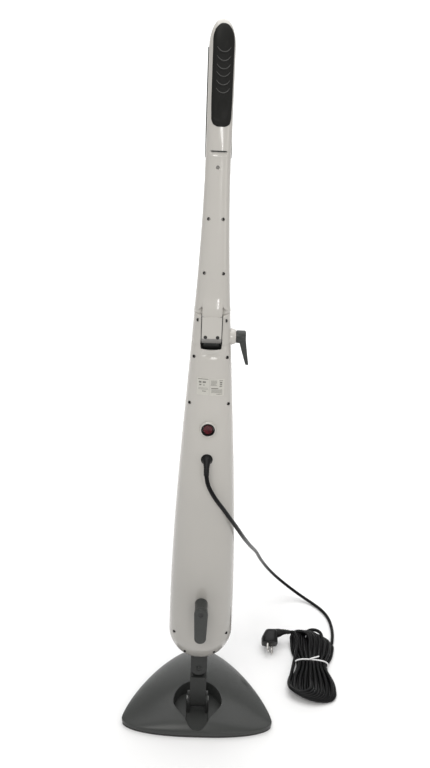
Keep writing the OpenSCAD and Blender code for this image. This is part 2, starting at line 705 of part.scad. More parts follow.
head_cover();
sole_plate();
sole_seal();
grip_strips();
steam_chamber();
neck_fork();
tilt_axle();
head_screws();
neck_knuckle();
neck_socket();
swivel_pin();
rear_housing();
front_housing();
hinge_fork();
hinge_bolt();
lever_boss();
housing_screws();
rating_label();
switch_bezel();
switch_body();
power_rocker();
cord_gland();
power_cord();
cord_hank();
cord_tie();
power_plug();
plug_pins();
cord_hook();
hook_screw();
water_tank();
filler_neck();
filler_cap();
level_window();
water_pump();
boiler();
thermostat();
thermal_fuse();
water_hoses();
steam_pipe();
terminal_block();
clamp_lever();
handle_tongue();
tongue_cover();
tongue_screws();
handle_rear();
handle_front();
handle_screws();
rear_grip_pad();
front_grip_pad();
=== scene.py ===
import math
import bpy
import numpy as np
from mathutils import Matrix


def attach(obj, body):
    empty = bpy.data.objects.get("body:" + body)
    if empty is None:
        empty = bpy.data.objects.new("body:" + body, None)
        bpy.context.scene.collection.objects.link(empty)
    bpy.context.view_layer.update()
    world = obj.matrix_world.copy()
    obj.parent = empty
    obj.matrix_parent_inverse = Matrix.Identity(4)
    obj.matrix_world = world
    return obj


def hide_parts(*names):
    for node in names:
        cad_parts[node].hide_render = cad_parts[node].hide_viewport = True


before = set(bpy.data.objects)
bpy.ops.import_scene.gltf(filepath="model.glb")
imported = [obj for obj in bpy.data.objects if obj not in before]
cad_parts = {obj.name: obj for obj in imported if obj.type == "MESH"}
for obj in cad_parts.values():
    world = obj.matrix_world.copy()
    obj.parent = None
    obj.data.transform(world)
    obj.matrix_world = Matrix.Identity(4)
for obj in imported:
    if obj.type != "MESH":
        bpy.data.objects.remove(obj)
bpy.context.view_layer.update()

scene = bpy.context.scene


class Shade:
    # wraps a shader socket, so that sums on a surface read as Python
    def __init__(self, finish, socket):
        self.finish, self.socket = finish, socket

    def maths(self, operation, *values):
        return self.finish.node("ShaderNodeMath", {"operation": operation}, values)

    def __add__(self, other):
        return self.maths("ADD", self, other)

    def __sub__(self, other):
        return self.maths("SUBTRACT", self, other)

    def __rsub__(self, other):
        return self.maths("SUBTRACT", other, self)

    def __mul__(self, other):
        return self.maths("MULTIPLY", self, other)

    __radd__ = __add__
    __rmul__ = __mul__

    def between(self, low, high, start=0.0, end=1.0):
        # eases from start, at low, to end, at high
        return self.finish.node("ShaderNodeMapRange", {"interpolation_type": "SMOOTHSTEP"},
                                (self, low, high, start, end))


class Finish:
    # a material: fixed values go on the shader's own sockets
    def __init__(self, name, **fixed):
        self.material = bpy.data.materials.new(name)
        self.material.use_nodes = True
        self.tree = self.material.node_tree
        self.shader = self.tree.nodes["Principled BSDF"]
        for key, value in fixed.items():
            self.shader.inputs[key.replace("_", " ")].default_value = value
        self.place = self.node("ShaderNodeTexCoord", out="Object")

    def node(self, kind, settings=None, values=(), out=0):
        made = self.tree.nodes.new(kind)
        for key, value in (settings or {}).items():
            setattr(made, key, value)
        pairs = values.items() if isinstance(values, dict) else enumerate(values)
        for key, value in pairs:
            if isinstance(value, Shade):
                self.tree.links.new(value.socket, made.inputs[key])
            elif value is not None:
                made.inputs[key].default_value = value
        return Shade(self, made.outputs[out])

    def feed(self, name, value):
        self.tree.links.new(value.socket, self.shader.inputs[name])

    def stretched(self, scale):
        return self.node("ShaderNodeMapping", None, {"Vector": self.place, "Scale": scale})

    def noise(self, scale, detail=3.0, at=None):
        values = {"Vector": at or self.place, "Scale": scale, "Detail": detail}
        return self.node("ShaderNodeTexNoise", None, values)

    def cells(self, scale):
        return self.node("ShaderNodeTexVoronoi", None, {"Vector": self.place, "Scale": scale})

    def axis(self, name):
        return self.node("ShaderNodeSeparateXYZ", None, (self.place,), out=name)

    def mix(self, mask, first, second):
        return self.node("ShaderNodeMix", {"data_type": "RGBA"}, {0: mask, 6: first, 7: second}, out=2)

    def bump(self, height, distance):
        self.feed("Normal", self.node("ShaderNodeBump", None, {
            "Height": height, "Distance": distance, "Strength": 1.0}))

    def mottled(self, pattern, low, high, first, second):
        # the base colour drifts between two tones with a pattern
        self.feed("Base Color", self.mix(pattern.between(low, high), rgb(*first), rgb(*second)))


def rgb(r, g, b):
    return (r, g, b, 1.0)


def moulded(name, colour, shift, rough, roughShift, grain, grainSize, **fixed):
    # moulded plastic or rubber: slow drift of colour and gloss, fine grain in the surface
    made = Finish(name, Roughness=rough, **fixed)
    drift = made.noise(9.0, 2.0)
    fine = made.noise(grainSize, 3.0)
    other = tuple(min(1.0, c * (1 + shift)) for c in colour)
    made.base = made.mix(drift.between(0.3, 0.7), rgb(*colour), rgb(*other))
    made.feed("Base Color", made.base)
    made.feed("Roughness", fine.between(0.25, 0.75, rough - roughShift, rough + roughShift))
    made.bump(fine + 0.25 * made.noise(grainSize * 0.13, 2.0), grain)
    return made


tones = {
    "white": (0.53, 0.51, 0.475), "darkGrey": (0.047, 0.049, 0.047), "black": (0.006, 0.006, 0.0063),
    "grip": (0.013, 0.013, 0.012), "lead": (0.003, 0.003, 0.0033), "steel": (0.55, 0.55, 0.54),
    "tie": (0.78, 0.78, 0.78), "rocker": (0.055, 0.0025, 0.006),
}
whiteShell = moulded("whiteShell", tones["white"], 0.035, 0.2, 0.035, 0.00003, 900.0,
                     Coat_Weight=0.35, Coat_Roughness=0.08, IOR=1.5)
# painted shade: the white is a little greyer towards the foot, where the body takes less light
footShadeFactor = whiteShell.axis("Z").between(0.12, 0.78, 0.70, 1.0)
footShadedBase = whiteShell.node("ShaderNodeVectorMath", {"operation": "SCALE"}, {0: whiteShell.base, 3: footShadeFactor})
whiteShell.feed("Base Color", footShadedBase)
# the tongue is the same white plastic, painted mid-grey: painted shade for its bevel and sides, which face
# down and into the hinge's gap
tongueShadedWhite = moulded("tongueShadedWhite", (0.27, 0.262, 0.25), 0.035, 0.24, 0.035, 0.00003, 900.0, IOR=1.5)
darkShell = moulded("darkShell", tones["darkGrey"], 0.08, 0.3, 0.05, 0.00004, 1400.0,
                    Specular_IOR_Level=0.2, Coat_Weight=0.04, Coat_Roughness=0.15)
neckDark = moulded("neckDark", (0.022, 0.023, 0.022), 0.1, 0.36, 0.05, 0.00004, 1400.0,
                   Specular_IOR_Level=0.3)
blackPlastic = moulded("blackPlastic", tones["black"], 0.2, 0.38, 0.07, 0.00005, 1500.0,
                       Specular_IOR_Level=0.22)
gripRubber = moulded("gripRubber", tones["grip"], 0.15, 0.5, 0.06, 0.00008, 2200.0, Specular_IOR_Level=0.14)
ribRubber = moulded("ribRubber", (0.055, 0.055, 0.052), 0.15, 0.5, 0.06, 0.00006, 2200.0, IOR=1.45)
leadRubber = moulded("leadRubber", tones["lead"], 0.2, 0.36, 0.07, 0.00006, 1600.0, Specular_IOR_Level=0.16)
# near-black painted shade for the screw holes, the hook's hole, the hinge's side gaps and the finger slot's
# top edge
paintedShadeDark = moulded("paintedShadeDark", (0.009, 0.009, 0.009), 0.2, 0.5, 0.06, 0.00003, 1500.0)
tieWire = moulded("tieWire", tones["tie"], 0.05, 0.45, 0.06, 0.00005, 1500.0)
hosePlastic = moulded("hosePlastic", (0.62, 0.62, 0.58), 0.05, 0.4, 0.05, 0.00004, 900.0)
print("plastics ready")


def metal(name, colour, rough, along):
    # turned or drawn metal: fine lines along one axis
    made = Finish(name, Metallic=1.0, Roughness=rough)
    lines = made.noise(70.0, 3.0, at=made.stretched(along))
    made.mottled(lines, 0.3, 0.7, colour, [c * 0.82 for c in colour])
    made.feed("Roughness", lines.between(0.2, 0.8, rough - 0.08, rough + 0.12))
    made.bump(lines, 0.00003)
    return made


steel = metal("steel", tones["steel"], 0.32, (8.0, 8.0, 0.6))
# dark steel, darkened further as painted shade for heads that sit in their wells
shadedScrewSteel = metal("shadedScrewSteel", (0.07, 0.068, 0.065), 0.45, (6.0, 1.0, 6.0))
nickel = metal("nickel", (0.72, 0.70, 0.67), 0.18, (9.0, 0.8, 9.0))
castAlloy = metal("castAlloy", (0.6, 0.6, 0.6), 0.45, (5.0, 5.0, 5.0))

rockerRed = Finish("rockerRed", Roughness=0.14, Specular_IOR_Level=0.35, Coat_Weight=0.1, Coat_Roughness=0.05)
glow = rockerRed.noise(300.0, 2.0)
rockerRed.mottled(glow, 0.3, 0.7, tones["rocker"], (0.09, 0.004, 0.010))
rockerRed.bump(rockerRed.noise(1200.0, 2.0), 0.00003)

labelPaper = Finish("labelPaper", Roughness=0.5)
fibre = labelPaper.noise(600.0, 4.0)
labelPaper.mottled(fibre, 0.3, 0.7, (0.535, 0.522, 0.475), (0.57, 0.555, 0.51))
labelPaper.bump(fibre, 0.00002)
labelInk = Finish("labelInk", Roughness=0.55)
labelInk.mottled(labelInk.noise(500.0), 0.3, 0.7, (0.16, 0.155, 0.14), (0.24, 0.23, 0.21))

tankClear = Finish("tankClear", Roughness=0.12, Transmission_Weight=0.75, IOR=1.33)
tankClear.mottled(tankClear.noise(20.0), 0.3, 0.7, (0.45, 0.62, 0.82), (0.52, 0.70, 0.88))
tankClear.bump(tankClear.noise(700.0), 0.00003)

hookStrip = Finish("hookStrip", Roughness=0.9)
loops = hookStrip.cells(900.0)
hookStrip.mottled(loops, 0.1, 0.6, (0.035, 0.035, 0.035), (0.012, 0.012, 0.012))
hookStrip.bump(loops, 0.0005)

plateFinish = moulded("platePlastic", (0.018, 0.018, 0.018), 0.2, 0.5, 0.08, 0.0001, 700.0)
print("metals, label and clear parts ready")

mm = 0.001


class Patches:
    # gathers grids of points, in millimetres, and joins them into one mesh
    def __init__(self):
        self.points, self.faces, self.count = [], [], 0

    def add(self, points, faces):
        self.points.append(points.reshape(-1, 3))
        self.faces.append(faces + self.count)
        self.count += self.points[-1].shape[0]

    def grid(self, p, aroundU=False, aroundV=False, flip=False, keep=None):
        # quads between neighbours; outside is (v direction) x (u direction)
        rows, columns = p.shape[:2]
        i = np.arange(rows if aroundU else rows - 1)[:, None]
        j = np.arange(columns if aroundV else columns - 1)[None, :]
        a, b = (i * columns + j), (i * columns + (j + 1) % columns)
        c, d = ((i + 1) % rows * columns + (j + 1) % columns), ((i + 1) % rows * columns + j)
        quads = np.stack([a, b, c, d], -1)
        quads = quads[keep] if keep is not None else quads.reshape(-1, 4)
        self.add(p, quads[:, ::-1] if flip else quads)
        return self

    def cap(self, ring, flip=False):
        # a fan over a closed ring
        n = len(ring)
        k = np.arange(n)
        fan = np.stack([k, (k + 1) % n, np.full(n, n), np.full(n, n)], -1)
        self.add(np.vstack([ring, ring.mean(0)[None]]), fan[:, ::-1] if flip else fan)
        return self

    def loft(self, rings):
        # rings run counter-clockwise seen from the end that they climb to
        return self.grid(rings, aroundV=True).cap(rings[0], flip=True).cap(rings[-1])

    def sheet(self, top, under, flip=False, keep=None):
        # two faces, and the four rims between them
        self.grid(top, flip=flip, keep=keep).grid(under, flip=not flip)
        for pair in ((under[0], top[0]), (top[-1], under[-1]),
                     (top[:, 0], under[:, 0]), (under[:, -1], top[:, -1])):
            self.grid(np.stack(pair), flip=flip)
        return self

    def turned(self, profile, at, along, steps):
        # adds the closed surface of a profile turned about an axis
        return self.grid(turnedAbout(profile, at, along, steps), aroundV=True, flip=True)


def piece(name, patches, finish, body, replaces=(), sharp=32.0):
    # one mesh object from patches: equal points are merged, thin faces are dropped
    points = np.vstack(patches.points)
    quads = np.vstack(patches.faces)
    keys = np.round(points * 2000.0).astype(np.int64)
    _, first, which = np.unique(keys, axis=0, return_index=True, return_inverse=True)
    which = which.reshape(-1)
    points, quads = points[first], which[quads]
    twice = quads == np.roll(quads, 1, 1)
    folded = (quads[:, 0] == quads[:, 2]) | (quads[:, 1] == quads[:, 3])
    whole, three = quads[(twice.sum(1) == 0) & ~folded], (twice.sum(1) == 1) & ~folded
    faces = whole.tolist() + quads[three][~twice[three]].reshape(-1, 3).tolist()
    mesh = bpy.data.meshes.new(name)
    mesh.from_pydata((points * mm).tolist(), [], faces)
    mesh.validate()
    mesh.shade_smooth()
    mesh.set_sharp_from_angle(angle=math.radians(sharp))
    made = bpy.data.objects.new(name, mesh)
    scene.collection.objects.link(made)
    mesh.materials.append(finish.material)
    settle(made, body, replaces)
    return made


def settle(made, body, replaces=()):
    if body:
        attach(made, body)
    if replaces:
        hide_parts(*replaces)


def ease(u):
    u = np.clip(u, 0, 1)
    return u * u * (3 - 2 * u)


def turnedAbout(profile, at, along, steps):
    # a profile of (radius, height) turned about an axis through at
    profile = np.array(profile, float)
    along = np.array(along, float) / np.linalg.norm(along)
    side = np.cross(along, [0, 0, 1.0] if abs(along[2]) < 0.9 else [1.0, 0, 0])
    side /= np.linalg.norm(side)
    other = np.cross(along, side)
    a = np.radians(360.0 * np.arange(steps) / steps)
    ring = np.cos(a)[:, None] * side + np.sin(a)[:, None] * other
    return np.array(at, float) + profile[:, None, :1] * ring[None] + profile[:, None, 1:] * along


def alongPath(path, radii, sides=16, flatten=1.0):
    # a round or flattened tube: each ring stands square to the path
    path = np.array(path, float)
    run = np.gradient(path, axis=0)
    run /= np.linalg.norm(run, axis=1)[:, None]
    side = np.zeros_like(path)
    last = np.cross(run[0], [0, 0, 1.0])
    if np.linalg.norm(last) < 0.1:
        last = np.cross(run[0], [0, 1.0, 0])
    for k in range(len(path)):
        last = last - run[k] * np.dot(last, run[k])
        last /= np.linalg.norm(last)
        side[k] = last
    other = np.cross(run, side)
    a = 2 * np.pi * np.arange(sides) / sides
    radii = np.broadcast_to(np.array(radii, float), (len(path),))
    return (path[:, None] + radii[:, None, None] * (np.cos(a)[None, :, None] * side[:, None]
            + flatten * np.sin(a)[None, :, None] * other[:, None]))


def signedPower(v, exponent):
    # a power that keeps the sign
    return np.sign(v) * np.abs(v) ** exponent


def smoothPath(points, steps):
    # Catmull-Rom curve through the points
    p = np.array(points, float)
    p = np.vstack([2 * p[0] - p[1], p, 2 * p[-1] - p[-2]])
    u = (np.arange(steps) / steps)[None, :, None]
    a, b, c, d = p[:-3, None], p[1:-2, None], p[2:-1, None], p[3:, None]
    q = 0.5 * (2 * b + (c - a) * u + (2 * a - 5 * b + 4 * c - d) * u ** 2 + (3 * b - a - 3 * c + d) * u ** 3)
    return np.vstack([q.reshape(-1, p.shape[1]), p[-2][None]])


def rounded(outline, low, high, edge, steps=4, lowEdge=None):
    # rings of a flat plate with rounded rims: the outline shrinks near both ends
    outline = np.array(outline, float)
    nxt, prev = np.roll(outline, -1, 0), np.roll(outline, 1, 0)
    t = nxt - prev
    normal = np.stack([t[:, 1], -t[:, 0]], -1)
    normal /= np.linalg.norm(normal, axis=1)[:, None]
    lowEdge = edge if lowEdge is None else lowEdge
    rows = []
    for k in range(steps + 1):
        a = math.pi / 2 * k / steps
        rows.append((lowEdge * (1 - math.sin(a)), low + lowEdge * (1 - math.cos(a))))
    for k in range(steps + 1):
        a = math.pi / 2 * k / steps
        rows.append((edge * (1 - math.cos(a)), high - edge * (1 - math.sin(a))))
    rings = [np.column_stack([outline - normal * inset, np.full(len(outline), h)]) for inset, h in rows]
    return np.array(rings)


def bar(p, q, r1, r2, steps=14):
    # outline of a bar with round ends, counter-clockwise
    p, q = np.array(p, float), np.array(q, float)
    along = math.atan2(*(q - p)[::-1])
    lean = math.asin(max(-1, min(1, (r1 - r2) / np.linalg.norm(q - p))))
    a = along - math.pi / 2 + lean + (math.pi - 2 * lean) * np.arange(steps + 1) / steps
    b = along + math.pi / 2 - lean + (math.pi + 2 * lean) * np.arange(steps + 1) / steps
    return np.vstack([q + r2 * np.column_stack([np.cos(a), np.sin(a)]),
                      p + r1 * np.column_stack([np.cos(b), np.sin(b)])])


def facing(rings, way):
    # lays rings made over the x-y plane so that their height runs along x or -y
    x, y, z = rings[..., 0], rings[..., 1], rings[..., 2]
    return np.stack([z, x, y] if way == "x" else [x, -z, y], -1)


view = {"place": (-0.0065, -1.085, 1.0785), "down": 20.4, "turn": -0.8, "roll": 2.35, "lens": 33.984375}


def aimCamera():
    down, turn, roll = (math.radians(view[k]) for k in ("down", "turn", "roll"))
    ahead = np.array([-math.sin(turn) * math.cos(down), math.cos(turn) * math.cos(down), -math.sin(down)])
    right = np.array([math.cos(turn), math.sin(turn), 0.0])
    up = np.cross(right, ahead)
    x = math.cos(roll) * right + math.sin(roll) * up
    y = -math.sin(roll) * right + math.cos(roll) * up
    camera = bpy.data.cameras.new("camera")
    camera.lens, camera.sensor_width = view["lens"], 36
    camera.clip_start, camera.clip_end = 0.02, 50
    holder = bpy.data.objects.new("camera", camera)
    rows = [[x[k], y[k], -ahead[k], view["place"][k]] for k in range(3)]
    holder.matrix_world = Matrix(rows + [[0, 0, 0, 1]])
    scene.collection.objects.link(holder)
    scene.camera = holder


aimCamera()

floorPaint = Finish("floorPaint", Roughness=0.75)
floorPaint.mottled(floorPaint.noise(3.0), 0.3, 0.7, (0.93, 0.93, 0.93), (0.95, 0.95, 0.95))
stage = {"halfWidth": 5000.0, "near": -5000.0, "far": 2600.0, "bend": 1400.0, "high": 4200.0}


def makeFloor():
    # a flat floor that bends up into a wall
    a = np.radians(np.linspace(0, 90, 19))
    far, bend = stage["far"], stage["bend"]
    run = np.concatenate([[stage["near"]], far + bend * np.sin(a), [far + bend]])
    rise = np.concatenate([[0], bend * (1 - np.cos(a)), [stage["high"]]])
    x = np.linspace(-stage["halfWidth"], stage["halfWidth"], 9)
    p = np.stack([np.broadcast_to(x, (len(run), 9)), np.broadcast_to(run[:, None], (len(run), 9)),
                  np.broadcast_to(rise[:, None] - 0.05, (len(run), 9))], -1)
    piece("floor", Patches().grid(p), floorPaint, None, sharp=80)


makeFloor()


def softBox(name, place, toward, size, power, colour):
    lamp = bpy.data.lights.new(name, "AREA")
    lamp.shape, lamp.size, lamp.size_y = "RECTANGLE", size[0], size[1]
    lamp.energy, lamp.color = power, colour
    holder = bpy.data.objects.new(name, lamp)
    place, toward = np.array(place, float), np.array(toward, float)
    back = (place - toward) / np.linalg.norm(place - toward)
    side = np.cross([0, 0, 1.0], back)
    side /= np.linalg.norm(side)
    up = np.cross(back, side)
    holder.matrix_world = Matrix([[side[k], up[k], back[k], place[k]] for k in range(3)] + [[0, 0, 0, 1]])
    scene.collection.objects.link(holder)


lights = {
    "keyBox": ((-0.7, -1.9, 2.6), (0, 0, 0.75), (1.3, 1.0), 26.0, (1.0, 0.99, 0.965)),
    "windowBox": ((0.85, -2.5, 1.18), (0, 0, 0.85), (0.34, 0.42), 7.0, (1.0, 1.0, 1.0)),
    "fillBox": ((2.2, -0.9, 1.3), (0, 0, 0.6), (0.8, 1.6), 5.0, (1.0, 0.94, 0.88)),
    "topBox": ((0.1, 0.5, 3.1), (0, 0, 0.2), (3.0, 3.0), 66.0, (1.0, 1.0, 1.0)),
    "wallBox": ((0.0, 1.2, 2.4), (0, 3.6, 1.4), (4.0, 1.6), 70.0, (1.0, 1.0, 1.0)),
}
for lightName, (place, toward, size, power, colour) in lights.items():
    softBox(lightName, place, toward, size, power, colour)
world = bpy.data.worlds.new("studio")
scene.world = world
world.use_nodes = True
world.node_tree.nodes["Background"].inputs["Color"].default_value = (1.0, 1.0, 1.0, 1.0)
world.node_tree.nodes["Background"].inputs["Strength"].default_value = 0.36
scene.view_settings.view_transform = "Standard"
print("camera, floor and lights set")

lead = {
    "diameter": 7.0, "length": 5.2, "turns": 10, "hankAt": (235.0, 128.0), "hankTurn": -6.0,
    "reach": 97.0, "pointsPerTurn": 24, "spread": 24.5, "fold": 21.5, "pinch": 0.34, "longTurn": 4,
    "longer": 17.0,
    "route": [
        (0, -57, 541), (3, -60, 527), (9, -62, 514), (18, -60, 498), (30, -53, 478), (43, -43, 454),
        (55, -26, 428), (67, 2, 395), (77, 40, 361), (88, 88, 321), (100, 142, 278), (112, 200, 232),
        (124, 254, 184), (138, 302, 138), (156, 338, 96), (178, 358, 62), (202, 363, 38), (226, 359, 21),
        (248, 350, 10), (268, 335, 5), (284, 314, 4), (294, 288, 4), (297, 260, 4), (296, 236, 4),
        (292, 212, 4), (287, 190, 4)],
    "tail": [(206, 204, 29), (195, 205, 29.5)],
}


def hankPlace(x, y, z):
    a = math.radians(lead["hankTurn"])
    return np.stack([lead["hankAt"][0] + x * math.cos(a) - y * math.sin(a),
                     lead["hankAt"][1] + x * math.sin(a) + y * math.cos(a), z], -1)


def hankTurns():
    # narrow turns laid side by side, each a little further left; round folds, and a pinched waist
    n, count = lead["pointsPerTurn"], lead["turns"]
    turn = np.arange(int((count - 0.37) * n)) / n
    order = np.arange(count + 1)
    shift = lead["spread"] * (1 - 2 * order / (count - 1))
    slide = ease((turn % 1 - 0.72) / 0.26) + np.floor(turn)
    shiftAt = np.interp(slide, order, shift)
    w = lead["fold"]
    straight = lead["reach"] - w - 0.011 * shiftAt ** 2
    top = straight + np.interp(slide, order, np.where(order == lead["longTurn"], lead["longer"], 0.0))
    q = turn % 1
    x, y = np.zeros_like(q), np.zeros_like(q)
    run, bend = 0.31, 0.19
    down, low = q < run, (q >= run) & (q < run + bend)
    up, high = (q >= 0.5) & (q < 0.5 + run), q >= 0.5 + run
    x[down], y[down] = w, (top - (top + straight) * q / run)[down]
    a = np.pi * (q - run) / bend
    x[low], y[low] = (w * np.cos(a))[low], (-straight - w * np.sin(a))[low]
    x[up], y[up] = -w, (-straight + (top + straight) * (q - 0.5) / run)[up]
    a = np.pi * (q - 0.5 - run) / bend
    x[high], y[high] = (-w * np.cos(a))[high], (top + w * np.sin(a))[high]
    pinch = np.exp(-(y / 30.0) ** 2)
    middle = shiftAt + x
    x = middle * (1 - lead["pinch"] * pinch)
    ends = ease((np.abs(y) - 0.55 * straight) / (0.45 * straight + w))
    layer = np.interp(slide, order, order % 2)
    z = 4.6 + 6.2 * layer * (1 - ends) + ends * 1.7 * slide + 3.0 * pinch * (1 - np.abs(middle) / 50)
    return hankPlace(x, y, z)


def makeLead():
    path = np.vstack([np.array(lead["route"], float), hankTurns(), np.array(lead["tail"], float)])
    curve = bpy.data.curves.new("lead", "CURVE")
    curve.dimensions, curve.resolution_u = "3D", 5
    curve.bevel_depth, curve.bevel_resolution = lead["diameter"] / 2 * mm, 4
    spline = curve.splines.new("BEZIER")
    spline.bezier_points.add(len(path) - 1)
    spline.bezier_points.foreach_set("co", (path * mm).ravel())
    for point in spline.bezier_points:
        point.handle_left_type = point.handle_right_type = "AUTO"
    curve.materials.append(leadRubber.material)
    made = bpy.data.objects.new("mainsLead", curve)
    scene.collection.objects.link(made)
    settle(made, "main_body", ("power_cord", "cord_hank"))
    steps = np.linalg.norm(np.diff(path, axis=0), axis=1)
    print("lead:", len(path), "points,", round(steps.sum() / 1000, 3), "m by chords")
    return made


mainsLead = makeLead()

plug = {"face": (151.0, 177.5, 18.8), "lean": 30.0, "half": 17.2, "apart": 9.5, "pin": 2.3, "pinLong": 18.5}


def makePlug():
    # a block with a rounded square face; it stands on its lower edge and one pin
    lean = math.radians(plug["lean"])
    face, ahead = np.array(plug["face"]), np.array([0, -math.cos(lean), -math.sin(lean)])
    side, rise = np.array([1.0, 0, 0]), np.array([0, -math.sin(lean), math.cos(lean)])
    t = np.array([0, 0.4, 1.4, 3, 8, 13, 15, 19, 23, 26.5, 29, 30.2, 30.6])
    size = np.array([0.88, 0.95, 0.985, 1, 1.0, 0.985, 0.94, 0.9, 0.85, 0.78, 0.66, 0.48, 0.2])
    slip = 3.6 * ease((t - 13) / 14)
    a = np.linspace(0, 2 * np.pi, 65)[:-1]
    across, upward = signedPower(np.cos(a), 0.62)[:, None], signedPower(np.sin(a), 0.62)[:, None]
    ring = plug["half"] * (across * side + upward * rise)
    rows = face - t[:, None, None] * ahead + size[:, None, None] * ring[None] + slip[:, None, None] * side
    body = Patches().loft(rows)
    root = face - 20.5 * ahead
    arm = smoothPath([root + [2, 0, 0], root + [12, 2, 1.5], root + [22, 5, 2.0], (184, 204.5, 30),
                      (196, 205, 29.5)], 8)
    s = np.linspace(0, 1, len(arm))
    radii = np.interp(s, [0, 0.25, 0.5, 0.62, 1], [11.5, 10.6, 8.8, 7.0, 4.4])
    radii = radii - 0.6 * (np.sin(s * 60) > 0.2) * (s > 0.6)
    body.loft(alongPath(arm, radii, 28, 0.92))
    made = piece("plugBody", body, blackPlastic, "main_body", ("power_plug",))
    pins = Patches()
    for way in (-1, 1):
        at = face + way * plug["apart"] * (0.53 * side - 0.85 * rise)
        q, p = plug["pin"], plug["pinLong"]
        shape = [(0, -1), (q, -1), (q, p - 2.6), (q - 0.3, p - 1.4), (q - 1.0, p - 0.4), (0, p)]
        pins.turned(shape, at, ahead, 20)
    return made, piece("plugPins", pins, nickel, "main_body", ("plug_pins",))


plugBody, plugPins = makePlug()

tie = {"halfWidth": 34.5, "high": 20.5, "wire": 1.5}


def makeTie():
    # a coated wire round the waist, pulled tight over the strands
    a = np.linspace(0, 2 * np.pi, 61)[:-1]
    x = tie["halfWidth"] * signedPower(np.cos(a), 0.75)
    z = tie["wire"] + tie["high"] / 2 * (1 + signedPower(np.sin(a), 0.7))
    y = 3.0 * np.sin(a + 0.5)
    ring = alongPath(hankPlace(x, y, z), tie["wire"], 10)
    closed = Patches().grid(ring, aroundU=True, aroundV=True)
    ends = smoothPath(hankPlace(np.array([-4.0, 2.0, 9.0, 15.0]), np.array([1.0, 4.0, 7.0, 12.0]),
                                np.array([24.0, 25.0, 25.5, 24.0])), 6)
    closed.loft(alongPath(ends, np.full(len(ends), tie["wire"]), 10))
    return piece("leadTie", closed, tieWire, "main_body", ("cord_tie",))


leadTie = makeTie()
print("lead, plug and tie made")

body = {"taperTop": 1020.0, "bellyAt": 205.0, "belly": 56.5, "grip": 18.3, "rear": (17.0, 29.0),
        "front": (17.0, 35.0), "lowRound": 63.0, "tip": 1164.0, "tipRound": 36.0, "turn": 9.0, "wall": 2.6}


def swell(z):
    # square of a sine, from 0 at the taper's top to 1 at the belly
    u = np.clip((body["taperTop"] - z) / (body["taperTop"] - body["bellyAt"]), 0, 1) ** 0.85
    return np.sin(np.pi / 2 * u) ** 2


def ends(z):
    # quarter ovals close the bottom and the tip
    low = np.clip(1 - (np.maximum(body["bellyAt"] - z, 0) / body["lowRound"]) ** 1.7, 0, 1) ** (1 / 1.7)
    high = np.sqrt(np.clip(1 - (np.maximum(z - body["tip"], 0) / body["tipRound"]) ** 2, 0, 1))
    return low * high


def halfWidth(z):
    return (body["grip"] + (body["belly"] - body["grip"]) * swell(z)) * ends(z)


def depth(z, side):
    base, extra = body["rear"] if side < 0 else body["front"]
    return (base + extra * swell(z)) * ends(z)


def onBody(u, z, side, inset=0.0, out=0.0):
    # a rounded section, |x|^2.5 + |y|^2.5 = 1: u is x over the half width, side -1 is the rear
    u, z = np.broadcast_arrays(u, z)
    thin = 1 - np.minimum(inset / np.maximum(halfWidth(z), 0.01), 0.9)
    x = halfWidth(z) * thin * u
    y = side * (depth(z, side) * thin + out) * np.clip(1 - np.abs(u) ** 2.5, 0, 1) ** 0.4
    a = np.radians(body["turn"]) * ease((z - 1030) / 30)
    return np.stack([x * np.cos(a) - y * np.sin(a), x * np.sin(a) + y * np.cos(a), z], -1)


def rearAt(x, z):
    return depth(z, -1) * np.clip(1 - np.abs(x / halfWidth(z)) ** 2.5, 0, 1) ** 0.4


def mergedLines(base, extra, gap):
    # keeps every extra line, and the base lines that are not too near one
    extra = np.unique(np.round(extra, 5))
    far = np.abs(base[:, None] - extra[None]).min(1) > gap if len(extra) else np.ones(len(base), bool)
    return np.sort(np.concatenate([base[far], extra]))


def shell(patches, place, uLines, zLines, holes, side):
    # outer wall with sunk round holes, inner wall, and rims between the two
    blocks, uExtra, zExtra = [], [], []
    for x, z, r, sink in holes:
        half = 1.75 * r
        blocks.append((x, z, r, sink, half))
        uExtra += [(x + half * k) / halfWidth(z) for k in (-1, -0.5, 0, 0.5, 1)]
        zExtra += [z + half * k for k in (-1, -0.5, 0, 0.5, 1)]
    uLines = mergedLines(uLines, np.array(uExtra), 0.012)
    zLines = mergedLines(zLines, np.array(zExtra), 0.9)
    uu, zz = np.meshgrid(uLines, zLines)
    outer, inner = place(uu, zz, 0.0), place(uu, zz, body["wall"])
    keep = np.ones((len(zLines) - 1, len(uLines) - 1), bool)
    flip = side > 0
    for x, z, r, sink, half in blocks:
        u, du = x / halfWidth(z), half / halfWidth(z)
        j0, j1 = np.searchsorted(uLines, [u - du - 1e-4, u + du - 1e-4])
        i0, i1 = np.searchsorted(zLines, [z - half - 1e-3, z + half - 1e-3])
        keep[i0:i1, j0:j1] = False
        loop = np.vstack([outer[i0, j0:j1], outer[i0:i1, j1], outer[i1, j1:j0:-1], outer[i1:i0:-1, j0]])
        a = np.arctan2(loop[:, 2] - z, loop[:, 0] - x)
        rings = [loop]
        for size, push in ((0.5 + 0.62 * half / r, 0), (1.18, 0), (1.05, 0.08), (1.0, 0.35), (0.97, sink)):
            px, pz = x + size * r * np.cos(a), z + size * r * np.sin(a)
            ring = place(px / halfWidth(pz), pz, 0.0)
            ring[:, 1] -= side * push
            rings.append(ring)
        patches.grid(np.array(rings), aroundV=True, flip=flip)
        patches.cap(rings[-1], flip=flip)
    return patches.sheet(outer, inner, flip, keep)


seamSteps = np.cos(np.linspace(np.pi, 0, 73))
uBase = signedPower(seamSteps, 0.8)
uBase = np.unique(np.concatenate([uBase, [-0.9985, 0.9985, -0.995, 0.995]]))


def seam(u):
    # the two shells meet in a fine groove
    return 0.3 * np.clip(1 - (1 - np.abs(u)) / 0.004, 0, 1)


